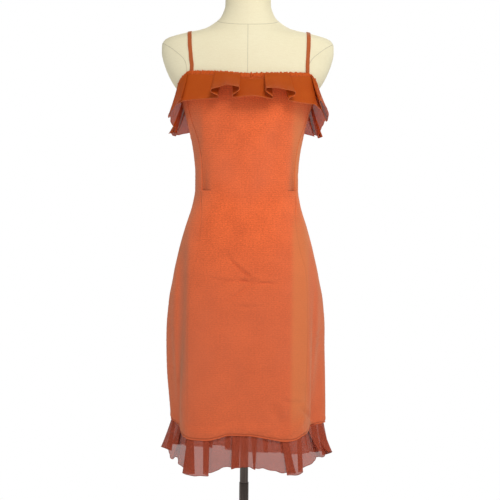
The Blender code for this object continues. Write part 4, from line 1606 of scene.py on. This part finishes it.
@dataclass
class Binding:
    """The narrow gathered strip that finishes the top edge all round."""

    height: float = 0.0105
    rest: float = 0.0006
    crown: float = 0.0013
    lump: float = 0.0012
    lump_period: float = 0.0085
    small_period: float = 0.0047
    plain_ends: float = 0.02
    lining_depth: float = 0.006
    row_length: float = 0.0025
    fullness: float = 1.12
    cut_width: float = 0.022
    thickness: float = 0.0004
    stitch_rise: float = 0.0016
    stitch_pitch: float = 0.0032
    columns: int = 760

    def section(self) -> list[tuple[float, float, float]]:
        """The strip's section, down the inside, over the edge and down the outside.

        Returns:
            How far each point is under the edge and out of the cloth, and how loose it is there.
        """
        rest, crown = self.rest, self.crown
        return [
            (self.lining_depth, -0.0030, 0.0),
            (0.002, -0.0032, 0.2),
            (-0.0004, -0.0020, 0.6),
            (-0.0012, -0.0004, 1.0),
            (-0.0006, rest + 0.6 * crown, 1.0),
            (0.0016, rest + crown, 1.0),
            (0.0045, rest + crown, 0.8),
            (0.0075, rest + 0.9 * crown, 0.9),
            (self.height - 0.0012, rest + 0.5 * crown, 0.5),
            (self.height, 0.0002, 0.0),
        ]

    def build(self) -> None:
        """Makes the strip and stitches it."""
        turn = np.linspace(-180, 180, self.columns + 1)
        edge = SURFACE.top_edge(turn)
        along = length_along(SURFACE.point(turn, edge))
        gathers = wander(along, self.lump_period, 11) + 0.6 * wander(along, self.small_period, 12)
        for end in (along[0], along[-1]):
            gathers = gathers * (1 - bell(along - end, self.plain_ends))
        rows, cuts = [], []
        for index, (under, out, loose) in enumerate(reversed(self.section())):
            lift = self.lump * loose * gathers
            rows.append(SURFACE.point(turn, edge - under + 0.5 * lift, out + lift))
            cuts.append(np.stack([along, np.full(len(along), index * self.row_length)], axis=-1))
        points = np.array(rows)
        points[:, -1] = points[:, 0]
        mesh = ROOM.grid("binding", points, np.array(cuts), weld=True)
        piece = ROOM.finish("neckline_binding", mesh, BINDING_FINISH, Slot.CHIFFON, 70)
        ROOM.thicken(piece, self.thickness)
        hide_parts(*(f"binding_{side}" for side in ("front", "left", "right", "back")))
        outside = self.rest + 0.6 * self.crown + 0.0003
        line = SURFACE.point(turn, edge - self.height + self.stitch_rise, outside)
        out = SURFACE.normal(turn, edge - self.height)
        mesh = ROOM.stitches("binding_stitches", line, out, self.stitch_pitch)
        ROOM.finish("binding_stitches", mesh, RUST_THREAD, Slot.CHIFFON)


# ---------------------------------------------------------------- ruffles
@dataclass
class PleatedRuffle:
    """A box-pleated chiffon strip sewn along an edge of the dress, all round, with a rolled free edge.

    Attributes:
        edge: The height of the edge at a turn.
        nodes: The CAD nodes that it stands for.
        stand_off, lift: How far out of the smooth cloth its recesses begin, and how far over the edge.
        layer_top, layer_free: From one layer of a pleat to the next, at the seam and at the free edge.
        row_bias: Under 1 where the rows are closer at the free edge.
        forward_turn, square_turn: Up to which turn it stands straight forward, and from which square.
        forward_share: How much of the edge's own way is left where it stands straight forward.
        slant: How far each lap runs from one layer to the next instead of along one.
    """

    name: str
    pleats: Table
    edge: Callable[[Grid], Grid]
    nodes: tuple[str, ...]
    stand_off: float
    lift: float = 0.0
    seed: int = 1
    finish: Finish = BUST_CHIFFON
    edge_finish: Finish = BUST_EDGE_FINISH
    layer_top: float = 0.0012
    layer_free: float = 0.0030
    rows: int = 26
    row_bias: float = 0.9
    thickness: float = 0.0003
    forward_turn: float = 15.0
    square_turn: float = 60.0
    forward_share: float = 0.25
    ripple: float = 0.0016
    ripple_period: float = 0.047
    small_period: float = 0.019
    roll_radius: float = 0.0007
    slant: float = 0.30
    arc_points: int = 7
    lap_points: int = 6
    face_points: int = 22
    recess_points: int = 22
    stitch_pitch: float = 0.0030
    stitch_out: float = 0.0004
    turns: Grid = field(init=False)
    lengths: Grid = field(init=False)

    def __post_init__(self) -> None:
        """Measures the edge from the front centre."""
        self.turns = np.linspace(-180, 180, 1441)
        length = length_along(SURFACE.point(self.turns, self.edge(self.turns)))
        self.lengths = length - np.interp(0, self.turns, length)

    @property
    def girth(self) -> float:
        """The edge's length all round."""
        return float(self.lengths[-1] - self.lengths[0])

    def outward(self, turn: Grid) -> Grid:
        """The level way in which the ruffle stands off: straight forward in front, square to the edge beyond.

        Args:
            turn: The turn of each place.

        Returns:
            A direction at each place.
        """
        before, after = (SURFACE.point(turn + step, self.edge(turn + step)) for step in (-0.5, 0.5))
        along = after - before
        past = np.abs(signed_turn(turn)) - self.forward_turn
        square = ease_in_out(past / (self.square_turn - self.forward_turn))
        sideways = along[..., 1] * (self.forward_share + (1 - self.forward_share) * square)
        return unit(np.stack([sideways, -along[..., 0], 0 * sideways], axis=-1))

    def layer_step(self, share: float) -> float:
        """From one layer of a pleat to the next, at this share of the depth."""
        return self.layer_top + share * (self.layer_free - self.layer_top)

    def path(self, share: float) -> tuple[Grid, Grid]:
        """The strip in plan at one depth.

        Args:
            share: How far down it is, from 0 at the seam to 1 at the free edge.

        Returns:
            Each point's place along the edge and its layer, from 0 in a recess to 2 on a box.
        """
        pleats = self.pleats

        def size(key: str, free_key: str) -> Grid:
            """A size of every box at this depth."""
            return pleats[key] + share * (pleats[free_key] - pleats[key])

        nose = self.layer_step(share) / 2
        middles, halves = pleats["middle"] + share * pleats["lean"], size("width", "free_width") / 2
        lefts, rights = size("left_lap", "left_free"), size("right_lap", "right_free")
        starts = np.roll(middles, 1)
        starts[0] -= self.girth
        starts += np.roll(halves - rights + nose, 1)
        quarter = np.linspace(-math.pi / 2, math.pi / 2, self.arc_points)
        lap = np.linspace(0, 1, self.lap_points + 2)[1:-1]
        curl = nose * np.cos(quarter)
        low, high = (1 - self.slant) / 2, (3 + self.slant) / 2
        folded, flat = low + low * np.sin(quarter), 2 * low + (2 * high - 2 - 2 * low) * lap
        rising = [folded, flat, high + (2 - high) * np.sin(quarter)]
        falling = [part[::-1] for part in reversed(rising)]
        places, layers = [], []
        for start, middle, half, left, right in zip(starts, middles, halves, lefts, rights):
            inner, outer = middle - half + left - nose, middle - half + nose
            inner_right, outer_right = middle + half - right + nose, middle + half - nose
            places += [np.linspace(start, inner, self.recess_points + 2)[1:-1]]
            places += [inner + curl, inner + lap * (outer - inner), outer - curl]
            places += [np.linspace(outer, outer_right, self.face_points + 2)[1:-1]]
            back = inner_right - outer_right
            places += [outer_right + curl, outer_right + lap * back, inner_right - curl]
            layers += [np.zeros(self.recess_points), *rising, np.full(self.face_points, 2.0), *falling]
        return np.concatenate(places), np.concatenate(layers)

    def around(self, key: str, places: Grid, recess: bool = False) -> Grid:
        """A column of the pleat table, read along the edge.

        Args:
            key: The column's name.
            places: Where it is read.
            recess: Whether its values stand at the recesses and not at the boxes.

        Returns:
            Its value at each place.
        """
        middles = self.pleats["middle"]
        if recess:
            previous = np.concatenate([[middles[-1] - self.girth], middles[:-1]])
            middles = (middles + previous) / 2
        at = np.concatenate([middles + lap * self.girth for lap in (-1, 0, 1)])
        return np.interp(places, at, np.tile(self.pleats[key], 3))

    def blend(self, key: str, places: Grid, box: Grid) -> Grid:
        """A size of the recesses mixed with the boxes' own, by how far each place is on a box."""
        recesses, boxes = self.around(f"recess_{key}", places, True), self.around(f"box_{key}", places)
        return recesses * (1 - box) + boxes * box

    def points(self) -> tuple[Grid, Grid, Grid]:
        """The whole strip in space.

        Returns:
            Its points from the seam down, their layers, and the length of cloth up to each column.
        """
        shares = np.linspace(0, 1, self.rows) ** self.row_bias
        paths = [self.path(share) for share in shares]
        rows = []
        reach, drop, previous = 0.0, 0.0, 0.0
        for share, (places, layer) in zip(shares, paths):
            step, box = share - previous, layer / 2
            previous = share
            depth = self.blend("depth", places, box)
            angle = np.radians(self.blend("flare", places, box) * (0.80 + 0.40 * share))
            head = self.blend("head", places, ease_in_out((box - 0.3) / 0.7)) - self.lift
            reach = reach + step * depth * np.sin(angle)
            drop = drop + step * depth * np.cos(angle)
            at = self.lengths[0] + (places - self.lengths[0]) % self.girth
            turn = np.interp(at, self.lengths, self.turns)
            root = SURFACE.point(turn, self.edge(turn) - head, self.stand_off + layer * self.layer_top)
            wave = wander(at, self.ripple_period, self.seed)
            wave = wave + 0.25 * wander(at, self.small_period, self.seed + 1)
            ripple = self.ripple * share**2 * wave
            spread = layer * (self.layer_step(share) - self.layer_top) + ripple
            sideways = reach + spread * np.cos(angle)
            downward = drop - spread * np.sin(angle) + 0.6 * ripple
            rows.append(root + self.outward(turn) * sideways[:, None] - UP * downward[:, None])
        places, layer = paths[0]
        moved = np.hypot(np.diff(places), np.diff(layer) * self.layer_top)
        return np.array(rows), layer, np.concatenate([[0.0], np.cumsum(moved)])

    def build(self) -> None:
        """Makes the strip and its rolled edge."""
        down, _, cloth = self.points()
        closed = np.concatenate([down, down[:, :1]], axis=1)[::-1]
        whole = float(cloth[-1] + np.linalg.norm(down[0, -1] - down[0, 0]))
        depth = float(self.pleats["box_depth"].mean())
        heights = np.linspace(0, depth, self.rows)
        cut = np.stack(np.meshgrid(np.append(cloth, whole), heights), axis=-1)
        mesh = ROOM.grid(self.name, closed, cut, weld=True)
        piece = ROOM.finish(f"{self.name}_chiffon", mesh, self.finish, Slot.CHIFFON, 80)
        ROOM.thicken(piece, self.thickness, 0.0)
        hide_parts(*self.nodes)
        free = down[-1]
        ahead = unit(np.roll(free, -1, axis=0) - np.roll(free, 1, axis=0))
        hanging = unit(down[-2] - down[-1])
        roll = ROOM.tube(f"{self.name}_edge", free, np.cross(ahead, hanging), self.roll_radius, ring=True)
        rolled = ROOM.finish(f"{self.name}_rolled_edge", roll, self.edge_finish, Slot.CHIFFON, 80)

    def seam_stitches(self, row: int = 1) -> None:
        """The stitches that hold the pleats, on the outer faces only.

        Args:
            row: The row of points that they follow, from the seam down.
        """
        down, layer, _ = self.points()
        line = down[row]
        out = unit(np.cross(np.gradient(line, axis=0), down[row - 1] - down[row]))
        shown = (np.abs(layer - 2) < 0.01) | (layer < 0.01)
        name, line = f"{self.name}_stitches", line + out * self.stitch_out
        mesh = ROOM.stitches(name, line, out, self.stitch_pitch, lambda index: bool(shown[index]))
        ROOM.finish(name, mesh, RUST_THREAD, Slot.CHIFFON)


# ---------------------------------------------------------------- straps
@dataclass
class Strap:
    """A narrow shoulder strap of folded knit, laid over the form from the front top edge to the back one.

    Attributes:
        sweep: The first and last ray that find its route, in degrees up from straight ahead.
        tucked: How far its ends go down under the top edge.
        calming: Over how many points the way out is evened.
        edge_roll, edge_place, edge_width: How high its turned edge is, where it is and how wide.
        edge_drop: How far it turns down at its very edge.
    """

    name: str
    form: DressForm
    width: float = 0.0095
    rest: float = 0.0003
    crown: float = 0.0012
    thickness: float = 0.0010
    sweep: tuple[float, float] = (-40.0, 235.0)
    rays: int = 420
    sweep_z: float = 1.300
    tucked: float = 0.009
    calming: int = 9
    slack: float = 0.0006
    slack_period: float = 0.05
    edge_roll: float = 0.0008
    edge_place: float = 0.80
    edge_width: float = 0.13
    edge_drop: float = 0.0009
    cut_share: float = 1.15
    columns: int = 140
    across: int = 13

    def route(self) -> tuple[Grid, Grid, Grid]:
        """Where the strap runs over the form.

        Returns:
            The length up to each point of its middle line, the points, and the way out of the form at each.
        """
        front, top, back = STRAP_LINES[self.name]
        rise = np.linspace(*self.sweep, self.rays)
        share = np.clip((rise - 90) / 90, -1, 1)
        middle = top + share**2 * np.where(share < 0, front - top, back - top)
        hits = []
        for angle, x in zip(np.radians(rise), middle):
            hits.append(self.form.hit((x, 0, self.sweep_z), (0, -math.cos(angle), math.sin(angle))))
        line = np.array([place for place, _ in hits])
        out = np.array([normal for _, normal in hits])
        turn = np.degrees(np.arctan2(line[:, 0], -line[:, 1]))
        kept = np.nonzero(line[:, 2] > SURFACE.top_edge(turn) - self.tucked)[0]
        line, out = line[kept[0]: kept[-1] + 1], out[kept[0]: kept[-1] + 1]
        length = length_along(line)
        at = np.linspace(0, length[-1], self.columns)
        line, out = (
            np.stack([np.interp(at, length, column) for column in grid.T], axis=-1) for grid in (line, out)
        )
        kernel = np.ones(self.calming) / self.calming
        for axis in range(3):
            padded = np.pad(out[:, axis], self.calming // 2, mode="edge")
            out[:, axis] = np.convolve(padded, kernel, mode="valid")
        return at, line, unit(out)

    def build(self) -> None:
        """Makes the strap."""
        at, line, out = self.route()
        side = unit(np.cross(np.gradient(line, axis=0), out))
        slack = self.slack * wander(at, self.slack_period, 31 if "left" in self.name else 32)
        across = np.linspace(-1, 1, self.across)
        rows = []
        for place in across:
            rolled = self.edge_roll * math.exp(-(((abs(place) - self.edge_place) / self.edge_width) ** 2))
            lift = self.rest + self.thickness + self.crown * 0.35 * (1 - place**2)
            lift = lift + rolled - self.edge_drop * place**8
            rows.append(line + side * (place * self.width / 2) + out * (lift + slack)[:, None])
        cut = np.stack(np.meshgrid(at, across * self.width / 2), axis=-1)
        mesh = ROOM.grid(self.name, np.array(rows)[::-1], cut[::-1])
        piece = ROOM.finish(f"{self.name}_knit", mesh, STRAP_FINISH, Slot.KNIT, 60)
        ROOM.thicken(piece, self.thickness)
        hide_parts(self.name)
        flat = (self.width * self.cut_share, float(at[-1]))


# ---------------------------------------------------------------- stand
@dataclass
class Stand:
    """The plain pole stand under the form."""

    gap: float = 0.0003
    base_radius: float = 0.165
    base_thickness: float = 0.008
    pole_radius: float = 0.0098
    sleeve_radius: float = 0.0110
    sleeve_top: float = 0.343
    collar_radius: float = 0.020
    collar_height: float = 0.030
    flange_radius: float = 0.045
    flange_thickness: float = 0.006
    form_bottom: float = 0.735
    rim: float = 0.002
    flange_rim: float = 0.0015
    tube_rim: float = 0.0005

    def ring(
        self, node: str, outer: float, low: float, high: float, bore: float, rim: float, finish: Finish
    ) -> None:
        """A turned collar, tube, plate or pole that stands for the CAD node of its name.

        Args:
            node: The node's name.
            outer: Its radius.
            low: Where it begins.
            high: Where it ends.
            bore: The radius of the hole through it, or 0.
            rim: How far its rims are rounded.
            finish: What it is finished with.
        """
        profile = [(bore, low), (outer, low), (outer, high), (bore, high)]
        piece = ROOM.finish(f"steel_{node}", ROOM.turned(node, profile, rim), finish, Slot.STEEL, 30)
        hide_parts(node)

    def build(self) -> None:
        """Makes the base, the tubes and the fittings under the form."""
        floor = self.base_thickness + self.gap
        seat = self.form_bottom - self.gap - self.flange_thickness - self.gap
        pole_bore, sleeve_bore = self.pole_radius + self.gap, self.sleeve_radius + self.gap
        sleeve, collar, flange = self.sleeve_radius, self.collar_radius, self.flange_radius
        top, low = floor + self.collar_height, seat + self.gap
        high = low + self.flange_thickness
        self.ring("base_plate", self.base_radius, 0.0, self.base_thickness, 0, self.rim, PLATE_FINISH)
        self.ring("base_collar", collar, floor, top, sleeve_bore, self.rim, TUBE_FINISH)
        self.ring("pole_sleeve", sleeve, floor, self.sleeve_top, pole_bore, self.tube_rim, TUBE_FINISH)
        self.ring("pole", self.pole_radius, floor, seat, 0, self.tube_rim, TUBE_FINISH)
        self.ring("form_flange", flange, low, high, 0, self.flange_rim, PLATE_FINISH)
        self.ring("form_collar", collar, seat - self.collar_height, seat, pole_bore, self.rim, TUBE_FINISH)


# ---------------------------------------------------------------- studio
@dataclass(frozen=True)
class SoftLight:
    """A large soft light that points at the pole's axis.

    Attributes:
        aim_height: The height that it points at.
        power: How strong it is, in watts.
    """

    name: str
    place: tuple[float, float, float]
    aim_height: float
    size: float
    power: float
    tint: tuple[float, float, float]

    def build(self) -> None:
        """Hangs the light."""
        lamp = bpy.data.lights.new(self.name, "AREA")
        lamp.size, lamp.energy, lamp.color = self.size, self.power, self.tint
        held = bpy.data.objects.new(self.name, lamp)
        bpy.context.scene.collection.objects.link(held)
        held.location = self.place
        aim = Vector((0, 0, self.aim_height)) - Vector(self.place)
        held.rotation_euler = aim.to_track_quat("-Z", "Y").to_euler()


LIGHTS = (
    SoftLight("key", (0.63, -2.37, 3.20), 1.05, 1.3, 66, (1.0, 0.985, 0.96)),
    SoftLight("right", (2.80, -0.75, 1.80), 1.00, 1.6, 15, (0.86, 1.0, 0.90)),
    SoftLight("left", (-2.30, -1.93, 2.10), 1.00, 1.6, 8, (0.80, 0.98, 0.96)),
    SoftLight("back", (0.40, 2.40, 2.60), 1.00, 1.6, 38, (1.0, 1.0, 1.0)),
)


@dataclass
class Studio:
    """The plain floor, the soft light and the camera.

    Attributes:
        focal_pixels, frame_pixels: The focal length and the frame's width, in the photograph's pixels.
        roll: How far the camera is turned about its own axis, in degrees.
        ambient: How strong the light from all round is.
    """

    distance: float = 2.6
    eye_height: float = 1.03
    aim_height: float = 0.885
    roll: float = 0.51
    focal_pixels: float = 1130.4
    frame_pixels: float = 500.0
    sensor: float = 36.0
    shift: float = 0.008
    floor_radius: float = 9.0
    floor_drop: float = 0.0005
    ambient: float = 0.26

    def camera(self) -> None:
        """The camera at the photograph's viewing angle."""
        lens = bpy.data.cameras.new("camera")
        lens.sensor_width = self.sensor
        lens.lens = self.focal_pixels / self.frame_pixels * self.sensor
        lens.shift_x = self.shift
        eye = bpy.data.objects.new("camera", lens)
        bpy.context.scene.collection.objects.link(eye)
        place, aim = Vector((0, -self.distance, self.eye_height)), Vector((0, 0, self.aim_height))
        turned = (aim - place).to_track_quat("-Z", "Y").to_matrix().to_4x4()
        rolled = Matrix.Rotation(math.radians(self.roll), 4, "Z")
        eye.matrix_world = Matrix.Translation(place) @ turned @ rolled
        bpy.context.scene.camera = eye

    def world(self) -> None:
        """White behind the object, and a weaker white that lights it from all round."""
        world = bpy.data.worlds.new("studio")
        bpy.context.scene.world = world
        world.use_nodes = True
        nodes, links = world.node_tree.nodes, world.node_tree.links
        nodes.clear()
        seen, lit = (nodes.new("ShaderNodeBackground") for _ in range(2))
        seen.inputs["Strength"].default_value = 1.0
        seen.inputs["Color"].default_value = colour(1, 1, 1)
        lit.inputs["Strength"].default_value = self.ambient
        lit.inputs["Color"].default_value = colour(1.0, 0.985, 0.97)
        kinds = ("ShaderNodeLightPath", "ShaderNodeMixShader", "ShaderNodeOutputWorld")
        rays, blend, output = (nodes.new(kind) for kind in kinds)
        links.new(rays.outputs["Is Camera Ray"], blend.inputs[0])
        links.new(lit.outputs[0], blend.inputs[1])
        links.new(seen.outputs[0], blend.inputs[2])
        links.new(blend.outputs[0], output.inputs[0])

    def floor(self) -> None:
        """The floor, which isn't part of the object."""
        shape = bmesh.new()
        bmesh.ops.create_circle(shape, cap_ends=True, segments=96, radius=self.floor_radius)
        mesh = bpy.data.meshes.new("floor")
        shape.to_mesh(mesh)
        shape.free()
        mesh.materials.append(ROOM.material(FloorFinish()))
        laid = bpy.data.objects.new("floor", mesh)
        laid.location.z = -self.floor_drop
        bpy.context.scene.collection.objects.link(laid)

    def build(self) -> None:
        """Sets up the studio."""
        self.camera()
        self.world()
        self.floor()
        for light in LIGHTS:
            light.build()
        bpy.context.scene.view_settings.view_transform = "Standard"


# ---------------------------------------------------------------- the whole
@dataclass
class Dress:
    """The knitted dress with its binding, straps and ruffles."""

    form: DressForm
    hem_stitch_rise: float = 0.0040
    hem_stitch_sunk: float = 0.0006
    hem_stitch_pitch: float = 0.0034
    hem_points: int = 1441

    def build(self) -> None:
        """Makes the panels, the binding, the straps and both ruffles."""
        Panel("front_centre", "front_left", "front_right", (1, 2)).build()
        Panel("side_front_left", "side_left", "front_left", (3, 1)).build()
        Panel("side_front_right", "front_right", "side_right", (2, 4)).build()
        Panel("back_left", "back_centre_left", "side_left", (6, 3)).build()
        Panel("back_right", "side_right", "back_centre", (4, 6)).build()
        Binding().build()
        for name in STRAP_LINES:
            Strap(name, self.form).build()
        self.build_ruffles()
        self.stitch_hem()

    def build_ruffles(self) -> None:
        """Makes the ruffle under the top edge and the one at the hem."""
        bust_nodes, hem_nodes = (
            tuple(f"{edge}_ruffle_{stretch}" for stretch in ("front", "left", "right", "back"))
            for edge in ("bust", "hem")
        )
        bust = PleatedRuffle("bust_ruffle", BUST_PLEATS, SURFACE.top_edge, bust_nodes, 0.0010, seed=41)
        bust.build()
        bust.seam_stitches()
        PleatedRuffle(
            "hem_ruffle", HEM_PLEATS, SURFACE.hem_edge, hem_nodes, -0.0048, lift=0.004, seed=51,
            finish=HEM_CHIFFON, edge_finish=HEM_EDGE_FINISH,
        ).build()

    def stitch_hem(self) -> None:
        """Makes the row of stitches over the knitted hem."""
        turn = np.linspace(-180, 180, self.hem_points)
        height = SURFACE.hem_edge(turn) + self.hem_stitch_rise
        line, out = SURFACE.point(turn, height, -self.hem_stitch_sunk), SURFACE.normal(turn, height)
        mesh = ROOM.stitches("hem_stitches", line, out, self.hem_stitch_pitch)
        ROOM.finish("hem_stitches", mesh, RUST_THREAD, Slot.KNIT)


def main() -> None:
    """Builds everything in order."""
    logging.basicConfig(level=logging.INFO, format="%(message)s")
    Studio().build()
    form = DressForm()
    form.build()
    Stand().build()
    Dress(form).build()


if __name__ == "__main__":
    main()
